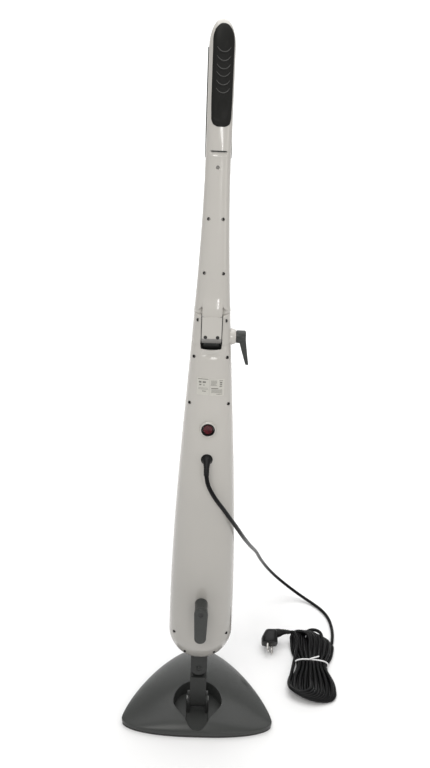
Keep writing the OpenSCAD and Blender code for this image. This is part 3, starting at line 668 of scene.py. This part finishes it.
cheek = {"slot": 16.4, "low": 747.3, "arc": 42.0, "floorAt": 28.6}
rearFace = {
    "screws": [(side * x, z) for x, z in ((25.5, 727), (30.5, 651), (46, 216), (26, 176))
               for side in (1, -1)],
    "screwRadius": 2.4, "sink": 4.3, "top": 747.5, "scoopTop": 739.9, "scoopAt": 732.2, "scoopHalf": 15.8,
    "scoopHigh": 8.6, "scoopDeep": 3.6,
    "lipHalf": 16.2, "lipRise": 1.3, "lipThin": 0.72,
}


def housingPlace(u, z, inset):
    face = rearFace
    x = halfWidth(z) * u
    # a glossy scoop below the hinge: a shallow oval bowl
    r = np.hypot(x / face["scoopHalf"], (z - face["scoopAt"]) / face["scoopHigh"])
    bowl = face["scoopDeep"] * np.clip(1 - r ** 2, 0, 1) ** 1.15
    step = 0.9 * ease((z - 738) / 7) * (np.abs(x) > face["lipHalf"])
    # the wall thins to its upper lip, where the tongue swings past
    thin = 1 - face["lipThin"] * ease((z - 733) / 5) * (np.abs(x) < face["lipHalf"] + 0.1)
    p = onBody(u, z, -1, inset * thin + seam(u) * (inset == 0))
    p[..., 1] += bowl + step * (np.abs(u) < 0.93)
    # beside the hinge's slot the wall stands higher
    lip = face["scoopTop"] + face["lipRise"] * (p[..., 0] / face["lipHalf"]) ** 2
    p[..., 2] = np.minimum(p[..., 2], np.where(np.abs(p[..., 0]) > face["lipHalf"], face["top"], lip))
    return p


def housingLines(*more):
    # rows are closer together where the foot rounds, and columns lie beside the slot of the hinge
    foot = 142 + body["lowRound"] * (1 - np.cos(np.linspace(0.28, np.pi / 2, 26)))
    slotEdges = np.array([k * cheek["slot"] / halfWidth(742.0) for k in (-1.03, -0.97, 0.97, 1.03)])
    return mergedLines(uBase, slotEdges, 0.004), np.concatenate([foot, *more])


def makeRearHousing():
    u, z = housingLines(np.linspace(210, 722, 96), np.linspace(724, rearFace["top"], 24))
    holes = [(x, h, rearFace["screwRadius"], rearFace["sink"]) for x, h in rearFace["screws"]]
    holes += [(0, 610, 11.2, 12.0)]
    made = shell(Patches(), housingPlace, u, z, holes, -1)
    return piece("rearHousing", made, whiteShell, "main_body", ("rear_housing",), sharp=28)


makeRearHousing()

filler = {"at": 640.0, "radius": 17.2, "sink": 8.5, "window": (470.0, 590.0), "windowHalf": 6.8}


def frontPlace(u, z, inset):
    p = onBody(u, z, 1, inset + seam(u) * (inset == 0))
    limit = np.where(np.abs(p[..., 0]) > rearFace["lipHalf"], rearFace["top"], rearFace["scoopTop"])
    p[..., 2] = np.minimum(p[..., 2], limit)
    return p


def makeFrontHousing():
    u, z = housingLines(np.linspace(210, 722, 80), np.linspace(726, rearFace["top"], 12))
    made = shell(Patches(), frontPlace, u, z, [(0, filler["at"], filler["radius"], filler["sink"])], 1)
    piece("frontHousing", made, whiteShell, "main_body", ("front_housing",), sharp=28)
    # level window: a long strip with round ends, a little proud of the shell
    low, high = filler["window"]
    z = (low + high) / 2 + (high - low) / 2 * np.sin(np.linspace(-np.pi / 2, np.pi / 2, 90))[:, None]
    half = filler["windowHalf"]
    beyond = np.maximum(np.abs(z - (low + high) / 2) - (high - low) / 2 + half, 0)
    w = np.sqrt(np.clip(half ** 2 - beyond ** 2, 0, None))
    x = w * np.sin(np.linspace(-np.pi / 2, np.pi / 2, 25))[None]
    z = z + 0 * x
    edge = np.clip(np.minimum(w - np.abs(x), np.minimum(z - low, high - z)) / 1.2, 0, 1)
    face = depth(z, 1) * np.clip(1 - np.abs(x / halfWidth(z)) ** 2.5, 0, 1) ** 0.4
    top = np.stack([x, face - 0.4 + 1.0 * np.sqrt(edge * (2 - edge)), z], -1)
    under = np.stack([x, face - 3.0, z], -1)
    made = Patches().sheet(top, under, True)
    return piece("levelStrip", made, tankClear, "main_body", ("level_window",))


makeFrontHousing()

handle = {
    "screws": [(0, 1008), (10.3, 936), (-10.3, 936), (14, 857), (-14, 857)], "hinge": 755.0, "relief": 42.4,
    "slotAt": 1027.0, "slotHalf": (12.5, 2.7), "slotDeep": 1.5, "bulge": 2.4,
}


def handlePlace(u, z, inset):
    x = halfWidth(z) * u
    # the shell swells over the tongue, and steps back in two small facets beside it
    bulge = handle["bulge"] * ease((824 - z) / 24) * ease((16.2 - np.abs(x)) / 1.2)
    spread = 7.7 * np.clip(806 - z, 0.01, 40) / 11
    facet = 6.5 * np.clip(1 - (np.abs(x) - 16) / spread, 0, 1) * (z < 806) * ease((np.abs(x) - 14.9) / 1.2)
    rise = np.clip((z - handle["slotAt"] + 3.6) / 6.6, 0, 1)
    slotX = ease((handle["slotHalf"][0] + 0.8 * rise - np.abs(x - 0.6)) / (3.4 - 1.6 * rise))
    slot = handle["slotDeep"] * slotX * rise ** 0.8 * np.clip((handle["slotAt"] + 3.5 - z) / 0.5, 0, 1)
    lip = 0.3 * np.exp(-((z - handle["slotAt"] + 4.4) / 1.1) ** 2) * ease((13.0 - np.abs(x - 0.6)) / 3)
    # room for the pad
    slot = slot + 6.0 * ease((12.4 - np.abs(x)) / 1.2) * ease((z - 1067) / 2) * ease((1186 - z) / 3)
    p = onBody(u, z, -1, inset + seam(u) * (inset == 0), out=bulge + lip)
    p[..., 1] += facet + slot
    # below 806 the rows bend to the round top of the cheeks
    edge = handle["hinge"] + np.sqrt(np.clip(handle["relief"] ** 2 - p[..., 1] ** 2, 0, None))
    low = z < 806
    p[..., 2] = np.where(low, edge + (806 - edge) * (z - 786) / 20, p[..., 2])
    return p


def makeHandleRear():
    z = np.concatenate([np.linspace(786, 830, 36), np.linspace(834, 1018, 40), np.linspace(1020, 1034, 24),
                        np.linspace(1037, 1164, 34), 1164 + 36 * np.sin(np.linspace(0.04, np.pi / 2, 22))])
    holes = [(x, h, 2.3, 4.3) for x, h in handle["screws"]]
    w = halfWidth(797.0)
    extra = np.array([k * v / w for k in (-1, 1) for v in (14.9, 15.5, 16.2, 17, 18, 19.2, 20.5, 22, 23.5)])
    made = shell(Patches(), handlePlace, mergedLines(uBase, extra, 0.006), z, holes, -1)
    return piece("handleRear", made, whiteShell, "upper_handle", ("handle_rear",), sharp=26)


makeHandleRear()

def makeCheeks():
    # outer wall follows the housing, inner wall is flat, and the top is an arc round the bolt
    made = Patches()
    for side in (-1, 1):
        start = np.arccos((cheek["slot"] / halfWidth(760.0)) ** 1.25)
        a = np.linspace(-start, start, 41)
        u = np.cos(a) ** 0.8
        z = np.concatenate([[0, 0.01], np.linspace(0.03, 0.97, 20), [0.99, 1.0]])[:, None]
        way = np.where(a < 0, -1.0, 1.0)
        # a first guess of y gives the arc's height there
        y = way * depth(770.0, -1) * np.clip(1 - u ** 2.5, 0, 1) ** 0.4
        high = handle["hinge"] + np.sqrt(cheek["arc"] ** 2 - np.minimum(np.abs(y), 30) ** 2)
        height = cheek["low"] + (high - cheek["low"]) * z
        d = np.where(a < 0, depth(height, -1), depth(height, 1))
        x = np.maximum(halfWidth(height) * u, cheek["slot"])
        y = way * d * np.clip(1 - np.minimum(x / halfWidth(height), 1) ** 2.5, 0, 1) ** 0.4
        outer = np.stack([side * x, y, height], -1)
        edge = np.minimum(np.minimum(z, 1 - z) / 0.02, 1)
        outer[..., 0] -= side * 0.4 * (1 - edge)
        inner = outer.copy()
        inner[..., 0] = side * cheek["slot"]
        flip = side < 0
        made.grid(outer, flip=flip).grid(inner, flip=not flip)
        made.grid(np.stack([inner[0], outer[0]]), flip=flip).grid(np.stack([outer[-1], inner[-1]]), flip=flip)
    piece("hingeCheeks", made, whiteShell, "main_body", ("hinge_fork",))
    # the curved floor between the cheeks, in dark grey: painted shade for the gap below the tongue
    a = np.linspace(np.radians(226), np.radians(314), 33)
    x = np.linspace(-17.5, 17.5, 3)
    floor = lambda r: np.stack([np.broadcast_to(x, (33, 3)), np.broadcast_to(r * np.cos(a)[:, None], (33, 3)),
                                np.broadcast_to(handle["hinge"] + r * np.sin(a)[:, None], (33, 3))], -1)
    made = Patches().sheet(floor(cheek["floorAt"]), floor(cheek["floorAt"] + 1.4))
    return piece("hingeFloor", made, darkShell, "main_body", ())


makeCheeks()

tongue = {"half": 15.3, "bevelLow": 749.5, "barrel": 21.5}


def makeTongue():
    # side outline (y, z), counter-clockwise seen from +X, carried across the slot
    r, h = tongue["barrel"], handle["hinge"]
    a = np.linspace(np.radians(194), np.radians(360), 26)
    low = np.stack([r * np.cos(a), h + r * np.sin(a)], -1)
    rings = rounded(low, -13.6, 13.6, 2.6, 4)
    # the barrel under the tongue is dark grey: painted shade, where it shows through the gap
    piece("hingeBarrel", Patches().loft(facing(rings, "x")), darkShell, "upper_handle", ())
    foot = tongue["bevelLow"]
    outline = [(-26.9, 757.6), (-26.3, 756.6), (-21.2, foot), (-10, foot), (0, 752), (10, 752), (20, 752),
               (r + 3, 762), (25.0, 772), (25.5, 797), (0, 797), (-22, 797), (-26.2, 791), (-27.1, 786),
               (-27.2, 772), (-27.1, 760)]
    made = Patches().loft(facing(rounded(outline, -tongue["half"], tongue["half"], 0.35, 2), "x"))
    # near-black plates on the inner cheek walls: painted shade for the narrow gaps beside the tongue
    gapShade = Patches()
    for side in (-1, 1):
        y, z = np.meshgrid([-23.5, -8.0, 8.0, 22.0], [746.0, 760.0, 775.0, 792.0])
        near, far = np.stack([side * 15.45 + 0 * y, y, z], -1), np.stack([side * 16.36 + 0 * y, y, z], -1)
        gapShade.sheet(far, near, side < 0)
    piece("hingeGapShade", gapShade, paintedShadeDark, "main_body", ())
    return piece("hingeTongue", made, tongueShadedWhite, "upper_handle", ("handle_tongue",), sharp=24)


makeTongue()


def makePanel():
    # small cover on the tongue, with two sunk screws
    x = np.linspace(-14.9, 14.9, 41)
    z = np.concatenate([np.linspace(758.2, 762, 8), np.linspace(763, 791.0, 14)])
    zz, xx = np.meshgrid(z, x, indexing="ij")
    sag = 1.3 * np.clip(1 - (xx / 15.5) ** 2, 0, 1)
    top = np.stack([xx, -27.25 - 0.35 * np.clip(1 - (np.abs(xx) / 15) ** 6, 0, 1), zz + (zz > 787) * sag], -1)
    under = top + np.array([0, 1.6, 0])
    made = Patches().sheet(top, under)
    return piece("tonguePanel", made, whiteShell, "upper_handle", ("tongue_cover",), sharp=30)


makePanel()
print("shells and hinge made")

pad = {
    "top": 1193.5, "low": 1062.0, "half": 15.1, "proud": 0.9, "scoopAt": 1088.0, "scoopDeep": 3.2,
    "ribs": (1157.6, 1146.7, 1136.4, 1127.0, 1116.4, 1106.3),
}


def makeRearPad():
    # a long rounded pad that follows the handle, with raised U-shaped ribs and a finger scoop
    q = np.linspace(0, 1, 300)[:, None]
    z = pad["low"] + (pad["top"] - pad["low"]) * (q - 0.18 * np.sin(2 * np.pi * q) / (2 * np.pi))
    p = np.sin(np.linspace(-np.pi / 2, np.pi / 2, 61))[None, :]
    cap, foot = 22.0, 13.0
    w = pad["half"] - 0.9 * ease((1100 - z) / 40)
    w = w * np.sqrt(np.clip(1 - (np.maximum(z - (pad["top"] - cap), 0) / cap) ** 2, 0, 1))
    w = w * np.clip(1 - (np.maximum((pad["low"] + foot) - z, 0) / foot) ** 2.6, 0, 1) ** (1 / 2.6)
    x = w * p
    zz = z + 0 * x
    inside = np.clip(np.minimum(w - np.abs(x), np.minimum(zz - pad["low"], pad["top"] - zz)) / 2.0, 0, 1)
    high = -1.0 + (1.0 + pad["proud"]) * np.sqrt(inside * (2 - inside))
    for rib in pad["ribs"]:
        line = rib + 6.0 * ease((np.abs(x) - 4.0) / 5.5)
        far = zz - line
        high += 0.35 * np.exp(-(far / 1.3) ** 2) * ease((10.2 - np.abs(x)) / 2)
        high -= 0.6 * np.exp(-((far + 2.2) / 1.3) ** 2) * ease((10.2 - np.abs(x)) / 2)
    r = np.hypot(x / 9.5, (zz - pad["scoopAt"]) / np.where(zz > pad["scoopAt"], 12.0, 18.0))
    high -= pad["scoopDeep"] * np.clip(1 - r ** 2, 0, 1) ** 1.3
    high += 0.5 * np.exp(-(((zz - 1068.0 - 0.03 * x ** 2) / 1.6) ** 2)) * inside
    u = np.clip(x / np.maximum(halfWidth(zz), 0.5), -0.98, 0.98)
    top = onBody(u, zz, -1, 0.0, out=high)
    under = onBody(u, zz, -1, 0.0, out=np.minimum(high, -1.0) - 3.0)
    made = Patches().sheet(top, under)
    piece("rearGrip", made, gripRubber, "upper_handle", ("rear_grip_pad",), sharp=50)
    ribs = Patches()
    x = np.linspace(-9.6, 9.6, 33)
    for rib in pad["ribs"]:
        z = rib + 6.2 * (np.abs(x) / 9.6) ** 2.3
        at = onBody(x / halfWidth(z), z, -1, 0.0, out=pad["proud"] + 0.25)
        ribs.loft(alongPath(at, 0.62 * np.sqrt(np.clip(1.02 - (x / 9.6) ** 6, 0, 1)), 8))
    piece("gripRibs", ribs, ribRubber, "upper_handle", ())
    # a near-black tube along the slot's top edge: painted shade in its narrow opening
    x = np.linspace(-11.0, 12.2, 25)
    z = handle["slotAt"] + handle["slotHalf"][1] + 0 * x
    at = onBody(x / halfWidth(z), z, -1, 0.0, out=-0.35)
    mouth = Patches().loft(alongPath(at, 0.75 * np.sqrt(np.clip(1.02 - ((x - 0.6) / 11.7) ** 8, 0, 1)), 8))
    return piece("slotMouth", mouth, paintedShadeDark, "upper_handle", ())


makeRearPad()
print("grips made")

head = {
    "centre": (0.0, 40.0), "rim": 12.0, "dome": 32.0, "pocketAt": (0.0, -8.0), "pocket": 46.0, "floor": 17.0,
    "troughHalf": 20.0, "troughFloor": 12.7,
    "neckLine": [(-58.5, 0), (-57.5, 6), (-55, 11.5), (-50.5, 16.5), (-44.5, 20.5), (-38, 25), (-32, 30.5),
                 (-26, 36.5), (-20, 41.3), (-14, 44.8), (-8, 46)],
}


def headOutline():
    # nose: x = 141 (1 - v^1.35)^0.65, heel: a low arch
    v = np.linspace(0, 1, 260) ** 1.4
    nose = np.stack([141 * np.clip(1 - v ** 1.35, 0, 1) ** 0.65, 194 * v - 28], -1)
    u = np.cos(np.linspace(0, np.pi, 320))
    heel = np.stack([141 * u, -28 - 32 * np.sqrt(np.clip(1 - np.abs(u) ** 2.4, 0, 1))], -1)
    return np.vstack([nose[:-1], nose[::-1] * [-1, 1], heel[::-1][1:-1]])


def radiusFrom(centre, outline, angles):
    d = outline - np.array(centre)
    a = np.arctan2(d[:, 1], d[:, 0])
    order = np.argsort(a)
    return np.interp(angles, a[order], np.hypot(d[:, 0], d[:, 1])[order], period=2 * np.pi)


def domeHeight(x, y):
    # height falls with the scale s at which the outline passes through the point
    dx, dy = x - head["centre"][0], y - head["centre"][1]
    a = np.linspace(-np.pi, np.pi, 721)[:-1]
    r = radiusFrom(head["centre"], headOutline(), a)
    # towards the middle the outline's corners are blurred, so that no ridge runs up the dome
    blur = np.real(np.fft.ifft(np.fft.fft(r) * np.exp(-(np.fft.fftfreq(720, 1 / 720.0) / 3.2) ** 2)))
    angle = np.arctan2(dy, dx)
    sharp, soft = np.interp(angle, a, r, period=2 * np.pi), np.interp(angle, a, blur, period=2 * np.pi)
    s = np.hypot(dx, dy) / sharp
    s = np.hypot(dx, dy) / (soft + (sharp - soft) * np.clip(s, 0, 1) ** 3.5)
    return head["rim"] + head["dome"] * np.clip(1 - np.minimum(s, 1) ** 2, 0, 1) ** 0.8


def makeHeadCover():
    cx, cy = head["pocketAt"]
    a = np.linspace(0, 2 * np.pi, 481)[:-1]
    rim = radiusFrom((cx, cy), headOutline(), a)
    smooth = smoothPath(head["neckLine"], 8)
    front = np.radians(np.linspace(0, 180, 121))
    hollow = np.vstack([np.stack([head["pocket"] * np.cos(front), cy + head["pocket"] * np.sin(front)], -1),
                        np.stack([-smooth[::-1, 1], smooth[::-1, 0]], -1)[1:],
                        np.stack([smooth[:, 1], smooth[:, 0]], -1)[1:-1]])
    wall = radiusFrom((cx, cy), hollow, a)
    # rows from the foot of the hollow's wall, over its rounded edge, to the rim and under it
    last = 1 - 0.1 * (1 - np.linspace(0, 1, 14)[1:]) ** 2.2
    t = np.concatenate([[0.012, 0.03], np.linspace(0.07, 0.9, 22), last])
    radius = wall + (rim - wall) * t[:, None]
    x, y = cx + radius * np.cos(a), cy + radius * np.sin(a)
    z = domeHeight(x, y)
    rows = [np.stack([x, y, z], -1)]
    ex, ey = cx + wall * np.cos(a), cy + wall * np.sin(a)
    edge = domeHeight(ex, ey)
    inward = [(-0.9, 7.5 + 0 * edge), (-0.85, np.minimum(edge - 2.5, 12.0)), (-0.8, edge - 1.5),
              (-0.5, edge - 0.5), (0.0, edge - 0.05)]
    foot = [np.stack([cx + (wall + push) * np.cos(a), cy + (wall + push) * np.sin(a), level], -1)
            for push, level in inward]
    turnUnder = ((0.05, 9.5), (0.25, 7.0), (0.6, 5.2), (1.3, 4.25), (2.6, 4.0), (8.0, 4.0), (8.0, 9.0))
    skirt = [np.stack([cx + (rim - i) * np.cos(a), cy + (rim - i) * np.sin(a), h + 0 * rim], -1)
             for i, h in turnUnder]
    grid = np.concatenate([np.array(foot), rows[0], np.array(skirt)])
    made = Patches().grid(grid, aroundV=True, flip=True)
    # floor of the hollow with the trough in it
    k = np.linspace(-1, 1, 141)
    steep = [-21.2, -20.6, -20.2, -19.8, 19.8, 20.2, 20.6, 21.2]
    xs = np.unique(np.concatenate([46.2 * np.sin(k * np.pi / 2), steep]))
    yHigh = cy + np.sqrt(np.clip(46.3 ** 2 - xs ** 2, 0, None))
    yLow = np.interp(np.abs(xs), smooth[:, 1], smooth[:, 0] - 0.4)
    q = np.linspace(0, 1, 90)[:, None]
    fx = xs[None] + 0 * q
    fy = yLow + (yHigh - yLow) * q
    cover = domeHeight(fx, fy)
    plain = np.minimum(head["floor"], cover - 0.6)
    rise = head["troughFloor"] + 1.6 * np.clip((-40 - fy) / 18.5, 0, 1) ** 2
    side = ease((20.9 - np.abs(fx)) / 1.6) * ease((24.5 - fy) / 1.2)
    corner = 1.4 * (np.abs(fx) / head["troughHalf"]) ** 4 * side
    fz = plain * (1 - side) + np.minimum(rise + corner, plain) * side
    made.grid(np.stack([fx, fy, fz], -1))
    made.grid(np.stack([fx, fy, fz - 2.2], -1), flip=True)
    return piece("headCover", made, darkShell, "head", ("head_cover",), sharp=34)


makeHeadCover()
print("floor head made")


screw = {
    "well": [(0, -3.4), (0.93, -3.4), (0.96, -0.5), (1.03, 0.02), (1.1, 0.05), (1.1, -0.6)],
    "head": [(0, -2.75), (0.45, -2.8), (0.5, -2.5), (1.2, -2.45), (0.78, -2.8), (0.8, -3.3)],
    "flatWell": [(0, 0.12), (0.8, 0.14), (0.9, 0.36), (1, 0.34), (1.06, 0.1), (1.08, -2.5)],
    "flatHead": [(0, 0.2), (0.45, 0.18), (0.5, 0.34), (1.1, 0.3), (0.58, 0.18), (0.6, -0.6)],
}


def sunkScrews(name, places, finishBody, replaces, shallow=()):
    # near-black wells, painted shade, with a domed screw head at the bottom; shallow places get a near-black
    # disc on the surface instead, painted shade of a hole; a place is (x, y of the surface, z, radius)
    wells, heads = Patches(), Patches()
    for wellShape, headShape, group in (("flatWell", "flatHead", shallow), ("well", "head", places)):
        for x, y, z, r in group:
            # radii are shares of r, but those round the head's recess are in mm
            wells.turned([(r * k, h) for k, h in screw[wellShape]], (x, y, z), (0, -1, 0), 28)
            heads.turned([(k if 0 < n < 4 else r * k, h) for n, (k, h) in enumerate(screw[headShape])],
                         (x, y, z), (0, -1, 0), 20)
    made = piece(name + "Wells", wells, paintedShadeDark, finishBody)
    return made, piece(name + "Heads", heads, shadedScrewSteel, finishBody, replaces)


housingScrews = [(x, -rearAt(x, z), z, 2.35) for x, z in rearFace["screws"]]
cheekScrews = [(x, -rearAt(x, 785.0) - 0.35, 785.0, 2.4) for x in (-21.2, 21.2)]
sunkScrews("housingScrew", housingScrews, "main_body", ("housing_screws",), cheekScrews)
handleScrews = [(x, -rearAt(x, z), z, 2.25) for x, z in handle["screws"]]
sunkScrews("handleScrew", handleScrews, "upper_handle", ("handle_screws",))
tongueScrews = [(x, -27.6, 760.2, 2.6) for x in (-9.3, 9.3)]
sunkScrews("tongueScrew", [], "upper_handle", ("tongue_screws",), tongueScrews)

labels = {
    "sheets": [(-10.3, 686.0, 19.0, 28.0), (11.5, 684.5, 23.0, 27.0)], "thick": 0.3, "drop": 4.5,
    "marks": [
        (-10.3, 698, 16, 1.1), (-15, 693, 4, 3), (-8.5, 693, 5, 2.8), (-14.5, 688.6, 3.4, 2.2),
        (-9, 688.3, 2.4, 1.4), (-10, 683.5, 15, 0.5), (-10, 681.6, 15, 0.5), (-8.5, 678.4, 6, 1.2),
        (6.5, 695.5, 10, 0.6), (6.5, 694, 9, 0.6), (6.5, 692.5, 10, 0.6), (6.2, 691, 9, 0.6),
        (5.6, 689.5, 8, 0.6), (6.4, 688, 10, 0.6), (17.6, 695.6, 6, 0.9), (17.6, 692.4, 4, 2.2),
        (17.6, 689.2, 3.6, 2), (17.4, 686.2, 4, 1.4), (8.2, 683, 11, 1.6), (15.6, 673.8, 9, 0.9),
        (11.4, 680.8, 17, 0.6), (11.4, 679.3, 17, 0.6), (11.4, 677.8, 17, 0.6), (11.4, 676.3, 17, 0.6)],
}


def facePatch(made, x, z, wide, high, low, top):
    # a thin rectangle that lies on the rear face
    u, v = np.meshgrid(np.linspace(-wide / 2, wide / 2, 13), np.linspace(-high / 2, high / 2, 9))
    px, pz = x + u, z + v
    y = -rearAt(px, pz)
    made.sheet(np.stack([px, y - top, pz], -1), np.stack([px, y - low, pz], -1))


def makeLabels():
    sheets, marks = Patches(), Patches()
    for x, z, wide, high in labels["sheets"]:
        facePatch(sheets, x, z - labels["drop"], wide, high, -0.2, labels["thick"])
    for x, z, wide, high in labels["marks"]:
        facePatch(marks, x, z - labels["drop"], wide, high, labels["thick"] - 0.1, labels["thick"] + 0.06)
    piece("ratingStickers", sheets, labelPaper, "main_body", ("rating_label",))
    piece("stickerMarks", marks, labelInk, "main_body", ())


makeLabels()

switch = {"at": (0.0, 0.0, 610.0), "face": -34.0, "collar": 12.8, "ring": 10.7, "button": 7.8}


def makeSwitch():
    x, _, z = switch["at"]
    f, c, r, b = switch["face"], switch["collar"], switch["ring"], switch["button"]
    at = (x, f, z)
    collar = [(c + 0.8, -1.2), (c + 0.7, 1.2), (c + 0.3, 2.6), (c - 0.5, 3.4), (c - 1.2, 3.5), (r + 0.2, 2.9),
              (r, 1.8), (r, -2)]
    made = Patches().turned(collar[::-1], at, (0, -1, 0), 72)
    piece("switchCollar", made, whiteShell, "main_body", ("switch_bezel",))
    ring = [(r, -3), (r - 0.05, 1.5), (r - 0.5, 2.2), (r - 1.1, 2.3), (b + 1.1, 1.9), (b + 0.85, 1.2),
            (b + 0.8, -5.5), (0, -5.6)]
    made = Patches().turned(ring[::-1], at, (0, -1, 0), 72)
    piece("switchRing", made, blackPlastic, "main_body", ("switch_body",))
    # a round button whose face is two slopes that meet in a soft valley
    p, a = np.linspace(0, 1, 24)[:, None], np.linspace(0, 2 * np.pi, 73)[None, :-1]
    px, pz = b * p * np.cos(a), b * p * np.sin(a)
    valley = 1.25 * (np.sqrt((pz / b) ** 2 + 0.02) - 0.14)
    high = 0.35 + valley - 0.9 * np.clip((p - 0.9) / 0.1, 0, 1) ** 2
    top = np.stack([x + px, f - high, z + pz], -1)
    under = np.stack([x + px * 0.96, f + 3.0 + 0 * px, z + pz * 0.96], -1)
    made = Patches().grid(top, aroundV=True, flip=True).grid(under, aroundV=True)
    made.grid(np.stack([top[-1], under[-1]]), aroundV=True, flip=True)
    piece("rockerButton", made, rockerRed, "rocker", ("power_rocker",))


makeSwitch()

gland = {"path": [(0, -30.5, 558.8), (0, -33.5, 558.6), (0, -37, 558.0), (0, -41, 556.9), (0, -45, 554.9),
                  (0, -49, 552.0), (0, -53, 547.8), (0, -56, 543.4), (0, -57.3, 540.4)],
         "radii": [6.4, 7.7, 8.0, 7.0, 5.5, 4.9, 4.7, 4.5, 4.3]}


def makeGland():
    path = smoothPath(gland["path"], 8)
    t = np.linspace(0, 1, len(path))
    radii = np.interp(t, np.linspace(0, 1, len(gland["radii"])), gland["radii"])
    radii = radii - 0.45 * (np.sin(t * 75) > 0.3) * (t > 0.6)
    made = Patches().loft(alongPath(path, radii, 32))
    foot = [(9.6, -1.5), (9.5, 0.5), (9.0, 1.2), (7.0, 1.5), (0, 1.5)]
    made.grid(turnedAbout(foot, (0, -36.3, 558.5), (0, -1, 0), 40), aroundV=True)
    return piece("cordGland", made, blackPlastic, "main_body", ("cord_gland",))


makeGland()
print("switch and gland made")

hook = {"at": (0.0, 287.0), "tip": (0.0, 237.2), "radii": (11.8, 10.2), "front": -77.0, "thick": 7.4,
        "well": 4.3}


def makeHook():
    outline = bar(hook["tip"], hook["at"], hook["radii"][1], hook["radii"][0], 20)
    rings = rounded(outline, -hook["front"] - hook["thick"], -hook["front"], 1.6, 5, 1.0)
    made = Patches().loft(facing(rings, "-y"))
    x, z = hook["at"]
    post = [(0, -40), (12.4, -40), (12.2, -38.6), (11.2, -36), (10.9, -30), (11.0, -12), (11.5, -6),
            (11.6, -3)]
    made.turned(post, (x, hook["front"], z), (0, -1, 0), 48)
    w = hook["well"]
    piece("cordHook", made, darkShell, "hook", ("cord_hook",))
    # a near-black disc over the screw: painted shade of the hole
    hole = [(0, 0.1), (w * 0.85, 0.12), (w * 0.95, 0.34), (w + 0.1, 0.32), (w + 0.35, 0.1), (w + 0.4, -0.8)]
    made = Patches().turned(hole, (x, hook["front"], z), (0, -1, 0), 36)
    return piece("hookWell", made, paintedShadeDark, "hook", ("hook_screw",))


makeHook()

lever = {"hub": 10.1, "from": 38.4, "to": 53.6}


def makeLever():
    r, a, b = lever["hub"], lever["from"], lever["to"]
    long = b - a
    hub = [(0, 0), (r - 1.2, 0), (r - 0.3, 0.5), (r, 1.5), (r + 0.15, 5), (r + 0.1, long - 2.2),
           (r - 0.5, long - 0.8), (r - 1.6, long), (4.2, long), (3.6, long - 0.9), (0, long - 0.9)]
    made = Patches().turned(hub, (a, 0, handle["hinge"]), (1, 0, 0), 56)
    # the arm narrows on its way down; its section is a rounded box
    t = np.concatenate([[0, 0.004, 0.02], np.linspace(0.06, 0.95, 22), [0.975, 0.99, 1.0]])[:, None]
    tuck = np.sqrt(np.clip(1 - (np.clip(t - 0.95, 0, 1) / 0.052) ** 2, 0.02, 1))
    k = np.linspace(0, 2 * np.pi, 41)[None, :-1]
    wide = (5.9 - 3.3 * t) * (0.75 + 0.25 * tuck)
    deep = (8.4 - 3.9 * t) * (0.6 + 0.4 * tuck)
    x = 48.2 + 9.3 * t ** 1.1 + wide * signedPower(np.cos(k), 0.4)
    arm = np.stack([x, deep * signedPower(np.sin(k), 0.4), 752.5 - 42.5 * t + 0 * k], -1)
    made.loft(arm[::-1])
    return piece("clampLever", made, darkShell, "lever", ("clamp_lever",), sharp=40)


makeLever()


def makeBoss():
    shape = [(0, -2), (13.2, -2), (13.0, 1.5), (12.2, 4.5), (11.2, 7), (10.5, 8), (9.6, 8.1), (0, 8.1)]
    made = Patches().turned(shape, (30.0, 0, handle["hinge"]), (1, 0, 0), 56)
    return piece("leverBoss", made, whiteShell, "main_body", ("lever_boss",))


makeBoss()
print("hook and lever made")

nodeFinish = {
    "head_cover": darkShell, "sole_plate": plateFinish, "sole_seal": blackPlastic, "grip_strips": hookStrip,
    "steam_chamber": steel, "neck_fork": neckDark, "tilt_axle": steel, "head_screws": shadedScrewSteel,
    "neck_knuckle": neckDark, "neck_socket": neckDark, "swivel_pin": neckDark,
    "rear_housing": whiteShell, "front_housing": whiteShell, "hinge_fork": whiteShell, "hinge_bolt": steel,
    "lever_boss": whiteShell, "housing_screws": shadedScrewSteel, "rating_label": labelPaper,
    "switch_bezel": whiteShell, "switch_body": blackPlastic, "power_rocker": rockerRed,
    "cord_gland": blackPlastic, "power_cord": leadRubber, "cord_hank": leadRubber, "cord_tie": tieWire,
    "power_plug": blackPlastic, "plug_pins": nickel, "cord_hook": darkShell, "hook_screw": shadedScrewSteel,
    "water_tank": tankClear, "filler_neck": tankClear, "filler_cap": darkShell, "level_window": tankClear,
    "water_pump": plateFinish, "boiler": castAlloy, "thermostat": blackPlastic, "thermal_fuse": nickel,
    "water_hoses": hosePlastic, "steam_pipe": steel, "terminal_block": hosePlastic,
    "clamp_lever": darkShell, "handle_tongue": whiteShell, "tongue_cover": whiteShell,
    "tongue_screws": shadedScrewSteel, "handle_rear": whiteShell, "handle_front": whiteShell,
    "handle_screws": shadedScrewSteel, "rear_grip_pad": gripRubber, "front_grip_pad": gripRubber,
}
for nodeName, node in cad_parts.items():
    node.data.materials.clear()
    node.data.materials.append(nodeFinish[nodeName].material)
